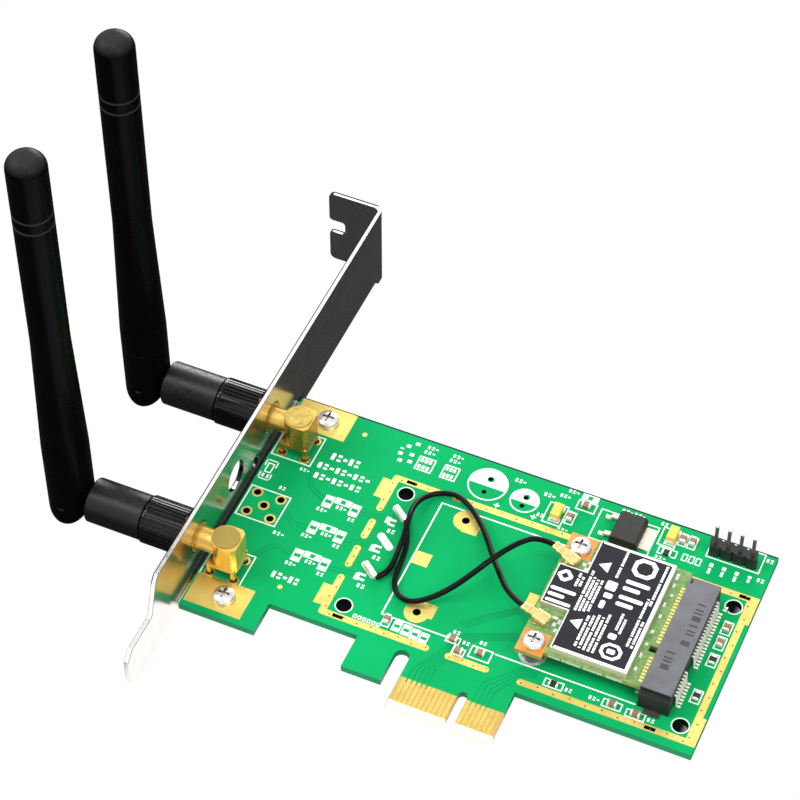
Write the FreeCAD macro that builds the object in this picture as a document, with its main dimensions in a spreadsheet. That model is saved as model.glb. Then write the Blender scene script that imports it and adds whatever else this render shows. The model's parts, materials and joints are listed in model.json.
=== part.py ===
import FreeCAD, Part
import math
import os
import re
import Sketcher

# Wireless adapter card for a one-lane expansion slot, in millimetres.
# The board lies flat with its parts upwards: +X runs from the bracket to the far end,
# +Y along the bracket towards its screw tab, +Z out of the component face.
# The origin is the middle of the contact tongue's lower edge, half way through the board.
# Sizes of the board are counted from its upper corner at the bracket.
SIZES = {
    # circuit board
    "board_length": 102.0,
    "board_height": 49.8,
    "board_thick": 1.6,
    "lobe_width": 16.0,
    "lobe_margin": 4.9,
    "stub_left": 34.6,
    "stub_drop": 57.5,
    "slot_width": 3.0,
    "slot_end": 50.9,
    "tongue_left": 45.75,
    "tongue_reach": 62.0,
    "bank_long": 11.65,
    "bank_short": 7.65,
    "key_gap": 1.9,
    "key_end": 54.55,
    "bevel_length": 1.3,
    "bevel_depth": 0.45,
    "post_hole": 1.5,
    "post_left": 29.3,
    "post_margin": 4.1,
    "post_far": 14.7,
    "post_near": 44.4,
    "vent_length": 2.2,
    "vent_width": 0.8,
    "finger_pitch": 1.0,
    "finger_width": 0.7,
    "finger_length": 5.6,
    "finger_margin": 1.1,
    "copper": 0.04,
    "strip_width": 1.4,
    "strip_left": 25.3,
    "strip_margin": 0.8,
    "strip_far": 11.0,
    "strip_near": 48.0,
    "block_step": 0.75,
    "block_long": 6.8,
    "corner_step": 1.8,
    "corner_long": 5.0,
    "ground_square": 3.2,
    "ground_square_x": 37.0,
    "patch_width": 2.0,
    "patch_length": 3.2,
    "patch_y": 30.4,
    "drop_reach": 3.3,
    "solder_pad": 1.6,
    "solder_pad_length": 3.2,
    "solder_pad_x": 30.35,
    "solder_pad_far": 19.7,
    "solder_pad_step": 7.5,
    "solder_pad_turn": 143.0,
    "core_pad_x": 28.2,
    "core_pad_drop": 1.6,
    "ear_pad_length": 12.0,
    "ear_pad_width": 7.3,
    "fixing_pad": 2.5,
    "fixing_x": 42.75,
    "fixing_hole": 0.8,
    "cap_hole": 0.5,
    "cap_big_margin": 58.8,
    "cap_big_y": 6.2,
    "cap_big_pitch": 3.5,
    "cap_small_margin": 50.6,
    "cap_small_y": 7.1,
    "cap_small_pitch": 2.2,
    # bracket
    "sheet": 1.0,
    "bracket_gap": 0.95,
    "bracket_top": 14.2,
    "bracket_width": 18.42,
    "bracket_height": 120.02,
    "foot_reach": 76.82,
    "tab_length": 11.43,
    "tab_width": 20.2,
    "tab_step": 0.7,
    "wing_length": 4.2,
    "wing_corner": 0.8,
    "bend_radius": 2.0,
    "tab_corner": 1.3,
    "notch_width": 3.6,
    "notch_depth": 3.6,
    "notch_drop": 9.6,
    "notch_corner": 0.8,
    "shoulder_y": 61.5,
    "shoulder_run": 5.5,
    "foot_width": 10.19,
    "foot_top": 8.0,
    "foot_corner": 2.0,
    "joggle": 1.0,
    "joggle_y": 62.5,
    "joggle_run": 4.0,
    "jack_hole": 3.35,
    "lamp_hole": 1.5,
    "lamp_y": 20.4,
    "lamp_z": 1.5,
    "ear_width": 7.4,
    "ear_length": 12.0,
    "ear_thread": 1.25,
    "screw_x": 7.4,
    "screw_far": 3.9,
    "screw_gap": 6.9,
    "screw_hole": 1.7,
    "screw_head": 2.3,
    "screw_head_tall": 1.6,
    "screw_shank": 1.2,
    "screw_length": 4.6,
    "recess_width": 0.55,
    "recess_length": 2.5,
    "recess_depth": 0.9,
    # aerial jacks
    "jack_x": 4.75,
    "jack_far": 12.2,
    "jack_pitch": 16.4,
    "axis_height": 6.5,
    "leg_pitch": 5.08,
    "leg_width": 0.8,
    "leg_reach": 1.4,
    "leg_hole": 0.75,
    "block_start": 2.05,
    "block_length": 5.95,
    "block_width": 5.9,
    "block_low": 2.3,
    "block_top": 9.3,
    "block_chamfer": 0.8,
    "block_round": 2.9,
    "block_base": 0.8,
    "neck_radius": 2.35,
    "neck_length": 2.95,
    "thread_radius": 3.175,
    "thread_end": 8.2,
    "jack_bore": 2.3,
    "jack_bore_depth": 3.2,
    "core_radius": 2.05,
    "core_end": 3.0,
    "core_pin": 0.64,
    "core_pin_start": 4.0,
    "tail_hole": 1.3,
    "tail_width": 0.6,
    "lid_radius": 2.7,
    "lid_seat": 0.5,
    "lid_tall": 0.75,
    # swivel aerials, measured from the hinge pin
    "hinge_x": 28.7,
    "rod_radius": 4.67,
    "seam": 10.5,
    "spigot_radius": 2.85,
    "spigot_play": 0.05,
    "spigot_length": 6.0,
    "flare_start": 15.0,
    "flare_end": 45.0,
    "tip_radius": 3.8,
    "rod_top": 92.0,
    "dome": 2.9,
    "tip_wall": 3.0,
    "ring_low": 76.2,
    "ring_high": 78.8,
    "ring_width": 0.5,
    "ring_depth": 0.14,
    "tongue_thick": 3.5,
    "tongue_half": 2.9,
    "fork_gap": 0.25,
    "pin_radius": 0.8,
    "pin_play": 0.04,
    "base_start": 4.95,
    "base_end": 16.6,
    "base_radius": 4.55,
    "base_round": 0.4,
    "journal": 2.5,
    "journal_play": 0.05,
    "collar_radius": 3.15,
    "collar_gap": 0.15,
    "cavity_start": 12.5,
    "cavity_end": 14.9,
    "collar_play": 0.3,
    "nut_start": 17.0,
    "nut_floor": 2.0,
    "nut_end": 25.3,
    "nut_radius": 4.85,
    "ridge_count": 36,
    "ridge_gap": 0.38,
    "ridge_depth": 0.35,
    "insert_radius": 3.95,
    "insert_start": 20.4,
    "thread_play": 0.05,
    "flange_thick": 1.2,
    "nose_radius": 1.9,
    "nose_end": 22.6,
    "plug_core": 1.3,
    "plug_pin": 0.45,
    "plug_pin_end": 24.4,
    "wire_radius": 0.6,
    "wire_end": 80.0,
    "choke_radius": 2.2,
    "choke_length": 24.0,
    # radio card and its socket
    "card_margin": 38.0,
    "card_length": 26.8,
    "card_width": 30.0,
    "card_middle": 28.2,
    "card_low": 3.0,
    "card_thick": 1.0,
    "card_shoulder": 2.1,
    "card_inset": 1.3,
    "card_key": 1.4,
    "card_key_depth": 3.6,
    "card_hole_x": 2.75,
    "card_hole_pitch": 24.2,
    "card_hole": 1.35,
    "card_pad": 5.4,
    "contact_first": 17.4,
    "contact_pitch": 0.8,
    "contact_skip": 4.0,
    "card_finger": 0.5,
    "card_finger_length": 2.6,
    "can_margin": 31.7,
    "can_length": 15.4,
    "can_width": 27.4,
    "can_middle": 27.6,
    "can_tall": 1.6,
    "can_wall": 0.25,
    "can_nose_margin": 37.3,
    "can_nose_width": 9.9,
    "can_nose_middle": 27.15,
    "label_edge": 0.3,
    "label_thick": 0.08,
    "chip_width": 9.0,
    "chip_tall": 0.9,
    "coax_margin": 35.6,
    "coax_far": 20.1,
    "coax_near": 35.3,
    "coax_base": 2.6,
    "coax_base_tall": 0.35,
    "coax_ring": 1.0,
    "coax_ring_tall": 0.75,
    "plug_head": 1.5,
    "plug_head_tall": 1.25,
    "plug_gap": 0.05,
    "plug_reach": 4.8,
    "plug_width": 2.0,
    "plug_tall": 1.0,
    "plug_turn_near": 163.0,
    "plug_turn_far": 155.0,
    "spacer_radius": 2.2,
    "spacer_bore": 1.0,
    "spacer_spigot": 1.1,
    "card_screw_head": 2.2,
    "card_screw_tall": 1.3,
    "card_screw_shank": 0.95,
    "card_screw_length": 3.6,
    "socket_margin": 13.1,
    "socket_length": 6.2,
    "socket_width": 28.5,
    "socket_middle": 29.25,
    "socket_tall": 5.3,
    "socket_step": 0.95,
    "socket_step_drop": 1.1,
    "mouth_depth": 2.3,
    "mouth_gap": 0.1,
    "lead_width": 0.4,
    "lead_thick": 0.16,
    "lead_rise": 3.2,
    "lead_rise_under": 1.1,
    "lead_reach": 1.4,
    "anchor_length": 3.2,
    "anchor_reach": 1.3,
    "anchor_thick": 0.3,
    # pin header
    "header_margin": 12.0,
    "header_y": 3.6,
    "header_pitch": 2.54,
    "header_tall": 3.0,
    "header_chamfer": 0.45,
    "header_pin": 0.64,
    "header_pin_top": 8.6,
    "header_pin_low": 1.5,
    "header_hole": 0.55,
    # regulator, capacitors and resistors
    "reg_margin": 31.8,
    "reg_length": 5.8,
    "reg_width": 7.0,
    "reg_middle": 6.35,
    "reg_tall": 2.3,
    "reg_tab": 2.2,
    "reg_tab_width": 5.4,
    "reg_lead_pitch": 4.4,
    "reg_lead_width": 0.8,
    "reg_lead_reach": 2.6,
    "reg_metal": 0.5,
    "tantalum_length": 3.2,
    "tantalum_width": 1.8,
    "tantalum_tall": 1.7,
    "chip_cap_length": 1.9,
    "chip_cap_width": 1.2,
    "chip_cap_tall": 0.95,
    "chip_cap_end": 0.4,
    "resistor_tall": 0.55,
    # cable
    "lead_diameter": 1.13,
    "braid_radius": 0.62,
    "braid_length": 4.0,
}

MID_X = "(tongue_left + (bank_long + key_gap + bank_short) / 2)"
LOW_Y = "(0 - tongue_reach)"
MID_Z = "(0 - board_thick / 2)"

# Places that follow from the sizes: what stands near the board's far end keeps its distance from it,
# and the lower bracket screw keeps its distance from the jack above it.
PLACES = {
    "tab_face": "(bracket_height - foot_reach)",
    "screw_near": "(jack_far + 2 * jack_pitch + screw_gap)",
    "lobe_drop": "(screw_near + lobe_margin)",
    "post_right": "(board_length - post_margin)",
    "strip_right": "(board_length - strip_margin)",
    "header_x": "(board_length - header_margin)",
    "card_left": "(board_length - card_margin)",
    "can_left": "(board_length - can_margin)",
    "can_nose_left": "(board_length - can_nose_margin)",
    "coax_x": "(board_length - coax_margin)",
    "socket_left": "(board_length - socket_margin)",
    "reg_left": "(board_length - reg_margin)",
    "cap_big_x": "(board_length - cap_big_margin)",
    "cap_small_x": "(board_length - cap_small_margin)",
}

doc = FreeCAD.newDocument("wireless_adapter_card")
sheet = doc.addObject("Spreadsheet::Sheet", "Params")
for line, (alias, value) in enumerate(SIZES.items(), 1):
    sheet.set("A%d" % line, alias)
    sheet.set("B%d" % line, str(value))
    sheet.setAlias("B%d" % line, alias)
doc.recompute()

TURN = {
    "z": FreeCAD.Rotation(),
    "x": FreeCAD.Rotation(FreeCAD.Vector(0, 1, 0), 90),
    "y": FreeCAD.Rotation(FreeCAD.Vector(1, 0, 0), -90),
}
NODES = {}


def size(alias):
    return float(getattr(sheet, alias))


def ex(text):
    def swap(word):
        name = word.group(0)
        if name in PLACES:
            return ex(PLACES[name])
        return "Params." + name if name in SIZES else name
    return re.sub(r"[a-z_][a-z0-9_]*", swap, str(text))


def place(obj, x, y, z):
    for axis, value, zero in (("x", x, MID_X), ("y", y, LOW_Y), ("z", z, MID_Z)):
        obj.setExpression("Placement.Base." + axis, ex("(%s) - %s" % (value, zero)))
    return obj


def box(name, x, y, z, length, width, height):
    obj = doc.addObject("Part::Box", name)
    obj.setExpression("Length", ex(length))
    obj.setExpression("Width", ex(width))
    obj.setExpression("Height", ex(height))
    return place(obj, x, y, z)


def round_bar(name, axis, x, y, z, radius, length):
    obj = doc.addObject("Part::Cylinder", name)
    obj.Placement = FreeCAD.Placement(FreeCAD.Vector(), TURN[axis])
    obj.setExpression("Radius", ex(radius))
    obj.setExpression("Height", ex(length))
    return place(obj, x, y, z)


def fuse(name, shapes):
    obj = doc.addObject("Part::MultiFuse", name)
    obj.Shapes = shapes
    return obj


def group(name, shapes):
    obj = doc.addObject("Part::Compound", name)
    obj.Links = shapes
    return obj


def cut(name, base, tools):
    obj = doc.addObject("Part::Cut", name)
    obj.Base = base
    obj.Tool = tools[0] if len(tools) == 1 else fuse(name + "_tools", tools)
    return obj


def node(name, obj):
    obj.Label = name
    NODES[name] = obj
    return obj


def profile(body, plane, corners):
    sketch = body.newObject("Sketcher::SketchObject", body.Name + "_profile")
    sketch.AttachmentSupport = [(f, "") for f in body.Origin.OriginFeatures if f.Role == plane]
    sketch.MapMode = "FlatFace"
    count = len(corners)
    ring = [FreeCAD.Vector(math.cos(2 * math.pi * i / count), math.sin(2 * math.pi * i / count), 0)
            for i in range(count)]
    for i in range(count):
        sketch.addGeometry(Part.LineSegment(ring[i], ring[(i + 1) % count]))
    for i in range(count):
        sketch.addConstraint(Sketcher.Constraint("Coincident", i, 2, (i + 1) % count, 1))
    for i, corner in enumerate(corners):
        for kind, value in zip(("DistanceX", "DistanceY"), corner):
            index = sketch.addConstraint(Sketcher.Constraint(kind, -1, 1, i, 1, 1.0))
            sketch.setExpression("Constraints[%d]" % index, ex(value))
    return sketch


def pad(name, plane, corners, length, middle=False):
    body = doc.addObject("PartDesign::Body", name)
    feature = body.newObject("PartDesign::Pad", name + "_pad")
    feature.Profile = profile(body, plane, corners)
    feature.setExpression("Length", ex(length))
    feature.Midplane = middle
    body.Tip = feature
    return body


def turned(name, corners, axis):
    body = doc.addObject("PartDesign::Body", name)
    feature = body.newObject("PartDesign::Revolution", name + "_turn")
    sketch = profile(body, "XZ_Plane", corners)
    feature.Profile = sketch
    feature.ReferenceAxis = (sketch, ["V_Axis" if axis == "z" else "H_Axis"])
    feature.Angle = 360
    body.Tip = feature
    return body


def row(body, role, pitch, count):
    first = body.Tip
    pattern = body.newObject("PartDesign::LinearPattern", body.Name + "_row")
    pattern.Originals = [first]
    pattern.Direction = ([f for f in body.Origin.OriginFeatures if f.Role == role][0], [""])
    pattern.Mode = "Spacing"
    pattern.setExpression("Offset", ex(pitch))
    pattern.Occurrences = int(count)
    body.Tip = pattern
    return body


def rounded(body, radius, picked):
    doc.recompute()
    base = body.Tip
    names = ["Edge%d" % (i + 1) for i, edge in enumerate(base.Shape.Edges) if picked(edge)]
    feature = body.newObject("PartDesign::Fillet", body.Name + "_round")
    feature.Base = (base, names)
    feature.setExpression("Radius", ex(radius))
    body.Tip = feature
    return body


def ring_at(edge, axis, value, radius):
    curve = edge.Curve
    if not isinstance(curve, Part.Circle):
        return False
    return abs(getattr(curve.Center, axis) - value) < 0.01 and abs(curve.Radius - radius) < 0.01


def upright(edge, axis, spots):
    ends = [v.Point for v in edge.Vertexes]
    if len(ends) != 2:
        return False
    others = [a for a in "xyz" if a != axis]
    if any(abs(getattr(ends[0], a) - getattr(ends[1], a)) > 0.001 for a in others):
        return False
    here = [getattr(ends[0], a) for a in others]
    return any(abs(here[0] - p) < 0.01 and abs(here[1] - q) < 0.01 for p, q in spots)


def screw(name, x, y, z, head, tall, shank, reach):
    blank = turned(name + "_blank", [
        ("0", tall),
        ("%s * 0.55" % head, "%s * 0.96" % tall),
        ("%s * 0.88" % head, "%s * 0.68" % tall),
        (head, "%s * 0.3" % tall),
        (head, "0"),
        (shank, "0"),
        (shank, "0 - %s" % reach),
        ("0", "0 - %s" % reach),
    ], "z")
    place(blank, x, y, z)
    low = "%s + %s - recess_depth" % (z, tall)
    arms = [
        box(name + "_arm_a", "%s - recess_length / 2" % x, "%s - recess_width / 2" % y, low,
            "recess_length", "recess_width", "recess_depth + 1"),
        box(name + "_arm_b", "%s - recess_width / 2" % x, "%s - recess_length / 2" % y, low,
            "recess_width", "recess_length", "recess_depth + 1"),
    ]
    return cut(name, blank, arms)


# Circuit board: one outline with the contact tongue, the slot beside it and the key notch.
tongue_right = "tongue_left + bank_long + key_gap + bank_short"
board = pad("board_blank", "XY_Plane", [
    ("0", "0"),
    ("board_length", "0"),
    ("board_length", "0 - board_height"),
    (tongue_right, "0 - board_height"),
    (tongue_right, "0 - tongue_reach"),
    ("tongue_left - slot_width / 2", "0 - tongue_reach"),
    ("tongue_left - slot_width / 2", "0 - stub_drop"),
    ("stub_left", "0 - stub_drop"),
    ("stub_left", "0 - board_height"),
    ("lobe_width", "0 - board_height"),
    ("lobe_width", "0 - lobe_drop"),
    ("0", "0 - lobe_drop"),
], "board_thick")
place(board, "0", "0", "0 - board_thick")
low = "0 - board_thick - 1"
deep = "board_thick + 2"
openings = [
    box("slot_side", "tongue_left - slot_width", "0 - tongue_reach - 1", low,
        "slot_width", "tongue_reach + 1 - slot_end", deep),
    round_bar("slot_round", "z", "tongue_left - slot_width / 2", "0 - slot_end", low, "slot_width / 2",
              deep),
    box("key_side", "tongue_left + bank_long", "0 - tongue_reach - 1", low,
        "key_gap", "tongue_reach + 1 - key_end", deep),
    round_bar("key_round", "z", "tongue_left + bank_long + key_gap / 2", "0 - key_end", low, "key_gap / 2",
              deep),
]
for name, edge, lean in (("top", "0", "0 - bevel_depth"), ("under", "0 - board_thick", "bevel_depth")):
    wedge = pad("bevel_" + name, "YZ_Plane", [
        ("0 - 0.5", edge),
        ("bevel_length", edge),
        ("0 - 0.5", "%s + (%s) * (bevel_length + 0.5) / bevel_length" % (edge, lean)),
    ], "bank_long + key_gap + bank_short + slot_width")
    openings.append(place(wedge, "tongue_left - slot_width", "0 - tongue_reach", "0"))


def drill(name, x, y, radius):
    openings.append(round_bar(name, "z", x, y, low, radius, deep))


for name, x, y in (("a", "post_left", "post_far"), ("b", "post_left", "post_near"),
                   ("c", "post_right", "post_far"), ("d", "post_right", "post_near")):
    drill("post_" + name, x, "0 - " + y, "post_hole")
VENTS = []
for name, x, y in (("a", "post_left", "strip_far + strip_width / 2"),
                   ("b", "post_left", "strip_near - strip_width / 2"),
                   ("c", "post_right + 1.2", "strip_far + strip_width / 2"),
                   ("d", "post_right - 5", "strip_near - strip_width / 2")):
    VENTS.append(box("vent_" + name, "%s - vent_length / 2" % x, "0 - (%s) - vent_width / 2" % y, low,
                     "vent_length", "vent_width", deep))
openings.extend(VENTS)
JACKS = {"far": "jack_far", "spare": "(jack_far + jack_pitch)", "near": "(jack_far + 2 * jack_pitch)"}
for name, y in JACKS.items():
    drill("tail_" + name, "jack_x", "0 - " + y, "leg_hole")
    for i, (across, along) in enumerate(((1, 1), (1, -1), (-1, 1), (-1, -1))):
        drill("leg_%s_%d" % (name, i), "jack_x + %d * leg_pitch / 2" % across,
              "0 - %s + %d * leg_pitch / 2" % (y, along), "leg_hole")
for name, y in (("far", "screw_far"), ("near", "screw_near")):
    drill("ear_" + name, "screw_x", "0 - " + y, "screw_hole")
for i in range(4):
    drill("header_%d" % i, "header_x + %d * header_pitch" % i, "0 - header_y", "header_hole")
CARD_HOLES = {"far": "(0 - card_middle + card_hole_pitch / 2)",
              "near": "(0 - card_middle - card_hole_pitch / 2)"}
for name, y in CARD_HOLES.items():
    drill("fixing_" + name, "fixing_x", y, "fixing_hole")
    drill("spacer_" + name, "card_left + card_hole_x", y, "spacer_spigot")
for name in ("big", "small"):
    for sign in (1, -1):
        drill("cap_%s_%d" % (name, sign + 1), "cap_%s_x" % name,
              "0 - cap_%s_y + %d * cap_%s_pitch / 2" % (name, sign, name), "cap_hole")
node("circuit_board", cut("circuit_board_cut", board, openings))

# Gold edge contacts: eleven and seven on each face of the tongue.
banks = []
for face, z in (("top", "0"), ("under", "0 - board_thick - copper")):
    for bank, start, count in (("long", "tongue_left + finger_margin", 11),
                               ("short", "%s - finger_margin - 6 * finger_pitch" % tongue_right, 7)):
        finger = pad("finger_%s_%s" % (face, bank), "XY_Plane", [
            ("0 - finger_width / 2", "0"),
            ("finger_width / 2", "0"),
            ("finger_width / 2", "finger_length"),
            ("0 - finger_width / 2", "finger_length"),
        ], "copper")
        row(finger, "X_Axis", "finger_pitch", count)
        banks.append(place(finger, start, "0 - tongue_reach + bevel_length", z))
node("edge_contacts", group("edge_contacts_all", banks))

# Bare gold-plated copper on the component face: the ground frame round the radio card in broken
# strips, the two bracket pads, the teardrop pads of the long-card fixing and the spare jack's rings.
def strip_x(name, x, end, y):
    half = "strip_width / 2"
    return fuse("strip_" + name, [
        box("strip_bar_" + name, "%s + %s" % (x, half), y, "0",
            "(%s) - (%s) - strip_width" % (end, x), "strip_width", "copper"),
        round_bar("strip_start_" + name, "z", "%s + %s" % (x, half), "%s + %s" % (y, half), "0", half,
                  "copper"),
        round_bar("strip_end_" + name, "z", "%s - %s" % (end, half), "%s + %s" % (y, half), "0", half,
                  "copper"),
    ])


def strip_y(name, x, y, end):
    half = "strip_width / 2"
    return fuse("strip_" + name, [
        box("strip_bar_" + name, x, "%s + %s" % (end, half), "0",
            "strip_width", "(%s) - (%s) - strip_width" % (y, end), "copper"),
        round_bar("strip_start_" + name, "z", "%s + %s" % (x, half), "%s - %s" % (y, half), "0", half,
                  "copper"),
        round_bar("strip_end_" + name, "z", "%s + %s" % (x, half), "%s + %s" % (end, half), "0", half,
                  "copper"),
    ])


far_y = "0 - strip_far - strip_width"
near_y = "0 - strip_near"
inner_right = "strip_right - strip_width"
corner_far = fuse("corner_far", [
    strip_x("far_left", "strip_left", "strip_left + 11", far_y),
    strip_y("left_far", "strip_left", "0 - strip_far", "0 - strip_far - 9.7"),
    box("corner_block_far", "strip_left - corner_step", "0 - strip_far - 1.6 - corner_long", "0",
        "corner_step + strip_width / 2", "corner_long", "copper"),
])
corner_near = fuse("corner_near", [
    strip_x("near_left", "strip_left", "strip_left + 23", near_y),
    strip_y("left_near", "strip_left", near_y + " + 10.2", near_y),
    box("corner_block_near", "strip_left - corner_step", near_y + " + 2", "0",
        "corner_step + strip_width / 2", "corner_long", "copper"),
])
corner_right = fuse("corner_right", [
    strip_x("far_right", "strip_left + 12.8", "strip_right", far_y),
    strip_x("near_right", "strip_left + 41", "strip_right", near_y),
    strip_y("right", inner_right, "0 - strip_far", near_y),
    box("right_block_far", inner_right, "0 - strip_far - block_long", "0",
        "strip_width + block_step", "block_long", "copper"),
    box("right_block_near", inner_right, near_y, "0",
        "strip_width + block_step", "block_long", "copper"),
])
pads = [cut("ground_%d" % i, shape, VENTS + [
    round_bar("clear_far_%d" % i, "z", "post_right", "0 - post_far", low, "post_hole + 0.3", deep),
    round_bar("clear_near_%d" % i, "z", "post_right", "0 - post_near", low, "post_hole + 0.3", deep),
]) for i, shape in enumerate((corner_far, corner_near, corner_right))]
pads += [
    strip_x("near_middle", "strip_left + 26.3", "strip_left + 35.3", near_y),
    strip_y("left_a", "strip_left", "0 - strip_far - 12", "0 - strip_far - 17.2"),
    strip_y("left_b", "strip_left", "0 - strip_far - 19.1", "0 - strip_far - 24.7"),
    box("ground_square_pad", "ground_square_x", "0 - card_middle - ground_square / 2", "0",
        "ground_square", "ground_square", "copper"),
    box("ground_patch", "card_left - patch_width - 1.1", "0 - patch_y", "0",
        "patch_width", "patch_length", "copper"),
]
for name, y in (("far", "screw_far"), ("near", "screw_near")):
    blank = box("ear_pad_" + name, "0.4", "0 - %s - ear_pad_width / 2" % y, "0",
                "ear_pad_length", "ear_pad_width", "copper")
    pads.append(cut("ear_pad_cut_" + name, blank, [
        round_bar("ear_pad_hole_" + name, "z", "screw_x", "0 - " + y, low, "screw_hole", deep)]))
for name, y in CARD_HOLES.items():
    start = "%s - drop_reach + 0.5" % y if name == "far" else "%s - 0.5" % y
    drop = fuse("fixing_pad_" + name, [
        round_bar("fixing_disc_" + name, "z", "fixing_x", y, "0", "fixing_pad", "copper"),
        box("fixing_square_" + name, "fixing_x", start, "0", "drop_reach", "drop_reach", "copper"),
    ])
    pads.append(cut("fixing_pad_cut_" + name, drop, [
        round_bar("fixing_pad_hole_" + name, "z", "fixing_x", y, low, "fixing_hole", deep)]))
for i, (across, along) in enumerate(((0, 0), (1, 1), (1, -1), (-1, 1), (-1, -1))):
    x = "jack_x + %d * leg_pitch / 2" % across
    y = "0 - %s + %d * leg_pitch / 2" % (JACKS["spare"], along)
    pads.append(cut("spare_ring_%d" % i, round_bar("spare_disc_%d" % i, "z", x, y, "0", "leg_hole + 0.4",
                                                   "copper"),
                    [round_bar("spare_hole_%d" % i, "z", x, y, low, "leg_hole", deep)]))
node("plated_pads", group("plated_pads_all", pads))

# Tinned pads for three aerial leads: a long one for the braid and a short one for the core.
tinned = []
for i in range(3):
    y = "(0 - solder_pad_far - %d * solder_pad_step)" % i
    aim = (math.cos(math.radians(size("solder_pad_turn"))), math.sin(math.radians(size("solder_pad_turn"))))
    bar = doc.addObject("Part::Box", "solder_bar_%d" % i)
    bar.setExpression("Length", ex("solder_pad_length"))
    bar.setExpression("Width", ex("solder_pad"))
    bar.setExpression("Height", ex("copper"))
    lean = FreeCAD.Rotation(FreeCAD.Vector(0, 0, 1), size("solder_pad_turn"))
    bar.Placement = FreeCAD.Placement(FreeCAD.Vector(), lean)
    place(bar, "solder_pad_x - solder_pad_length / 2 * %.6f + solder_pad / 2 * %.6f" % aim,
          "%s - solder_pad_length / 2 * %.6f - solder_pad / 2 * %.6f" % (y, aim[1], aim[0]), "0")
    ends = []
    for k in (-1, 1):
        ends.append(round_bar("solder_end_%d_%d" % (i, k + 1), "z",
                              "solder_pad_x + %d * solder_pad_length / 2 * %.6f" % (k, aim[0]),
                              "%s + %d * solder_pad_length / 2 * %.6f" % (y, k, aim[1]), "0",
                              "solder_pad / 2", "copper"))
    tinned.append(fuse("solder_pad_%d" % i, [bar] + ends))
    tinned.append(box("core_pad_%d" % i, "core_pad_x", "%s - core_pad_drop - 1.6" % y, "0", "1.0", "1.6",
                      "copper"))
node("tinned_pads", group("tinned_pads_all", tinned))

# Bracket: one pressed steel sheet, folded into the screw tab and joggled at the foot.
inner = "(0 - bracket_gap)"
outer = "(0 - bracket_gap - sheet)"
tab_end = "(0 - bracket_gap - sheet - tab_length)"
foot_end = "(0 - foot_reach)"
strip = pad("bracket_strip", "XY_Plane", [
    (tab_end, "tab_face"),
    (inner, "tab_face"),
    (inner, "0 - joggle_y"),
    ("%s + joggle" % inner, "0 - joggle_y - joggle_run"),
    ("%s + joggle" % inner, foot_end),
    ("%s + joggle" % outer, foot_end),
    ("%s + joggle" % outer, "0 - joggle_y - joggle_run"),
    (outer, "0 - joggle_y"),
    (outer, "tab_face - sheet"),
    (tab_end, "tab_face - sheet"),
], "tab_width")
bend_x = 0 - size("bracket_gap")
bend_y = size("bracket_height") - size("foot_reach")
rounded(strip, "bend_radius", lambda edge: upright(edge, "z", [(bend_x, bend_y)]))
rounded(strip, "bend_radius - sheet", lambda edge: upright(
    edge, "z", [(bend_x - size("sheet"), bend_y - size("sheet"))]))
place(strip, "0", "0", "bracket_top - tab_width")
plate_low = "(bracket_top - bracket_width)"
foot_low = "(foot_top - foot_width)"
front = pad("bracket_front", "YZ_Plane", [
    ("tab_face", "bracket_top"),
    ("0 - shoulder_y", "bracket_top"),
    ("0 - shoulder_y - shoulder_run", "foot_top"),
    ("%s + foot_corner" % foot_end, "foot_top"),
    (foot_end, "foot_top - foot_corner"),
    (foot_end, "%s + foot_corner" % foot_low),
    ("%s + foot_corner" % foot_end, foot_low),
    ("0 - shoulder_y - shoulder_run", foot_low),
    ("0 - shoulder_y", plate_low),
    ("tab_face - wing_length", plate_low),
    ("tab_face - wing_length", "bracket_top - tab_width + wing_corner"),
    ("tab_face - wing_length + wing_corner", "bracket_top - tab_width"),
    ("tab_face", "bracket_top - tab_width"),
], "tab_length + sheet + joggle + 2")
place(front, "%s - 1" % tab_end, "0", "0")
pressed = doc.addObject("Part::Common", "bracket_pressed")
pressed.Base = strip
pressed.Tool = front
wall_x = "0 - bracket_gap - sheet - 1"
wall = "sheet + 2"
bracket_cuts = [
    box("tab_trim", "%s - 1" % tab_end, "tab_face - sheet - 1", "bracket_top - tab_width - 1",
        "tab_length - bend_radius + 1", "sheet + 2", "tab_step + 1"),
    box("tab_notch", "%s - 1" % tab_end, "tab_face - sheet - 1",
        "bracket_top - notch_drop - notch_width / 2",
        "notch_depth + 1 - notch_corner", "sheet + 2", "notch_width"),
    box("tab_notch_end", "%s - 1" % tab_end, "tab_face - sheet - 1",
        "bracket_top - notch_drop - notch_width / 2 + notch_corner",
        "notch_depth + 1", "sheet + 2", "notch_width - 2 * notch_corner"),
    round_bar("lamp_opening", "x", wall_x, "0 - lamp_y", "lamp_z", "lamp_hole", wall),
]
for i, side in enumerate((1, -1)):
    bracket_cuts.append(round_bar("tab_notch_round_%d" % i, "y", "%s + notch_depth - notch_corner" % tab_end,
                                  "tab_face - sheet - 1",
                                  "bracket_top - notch_drop + %d * (notch_width / 2 - notch_corner)" % side,
                                  "notch_corner", "sheet + 2"))
notch_middle = "bracket_top - notch_drop"
for i, (edge, way, radius) in enumerate((
        ("bracket_top", -1, "tab_corner"),
        (notch_middle + " + notch_width / 2", 1, "notch_corner"),
        (notch_middle + " - notch_width / 2", -1, "notch_corner"),
        ("bracket_top - tab_width + tab_step", 1, "tab_corner"))):
    corner_low = "%s - %s" % (edge, "1" if way > 0 else radius)
    bracket_cuts.append(cut("tab_corner_%d" % i, box(
        "tab_corner_box_%d" % i, "%s - 1" % tab_end, "tab_face - sheet - 1", corner_low,
        radius + " + 1", "sheet + 2", radius + " + 1"), [
        round_bar("tab_corner_bar_%d" % i, "y", "%s + %s" % (tab_end, radius), "tab_face - sheet - 2",
                  "%s + %d * %s" % (edge, way, radius), radius, "sheet + 4")]))
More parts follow.
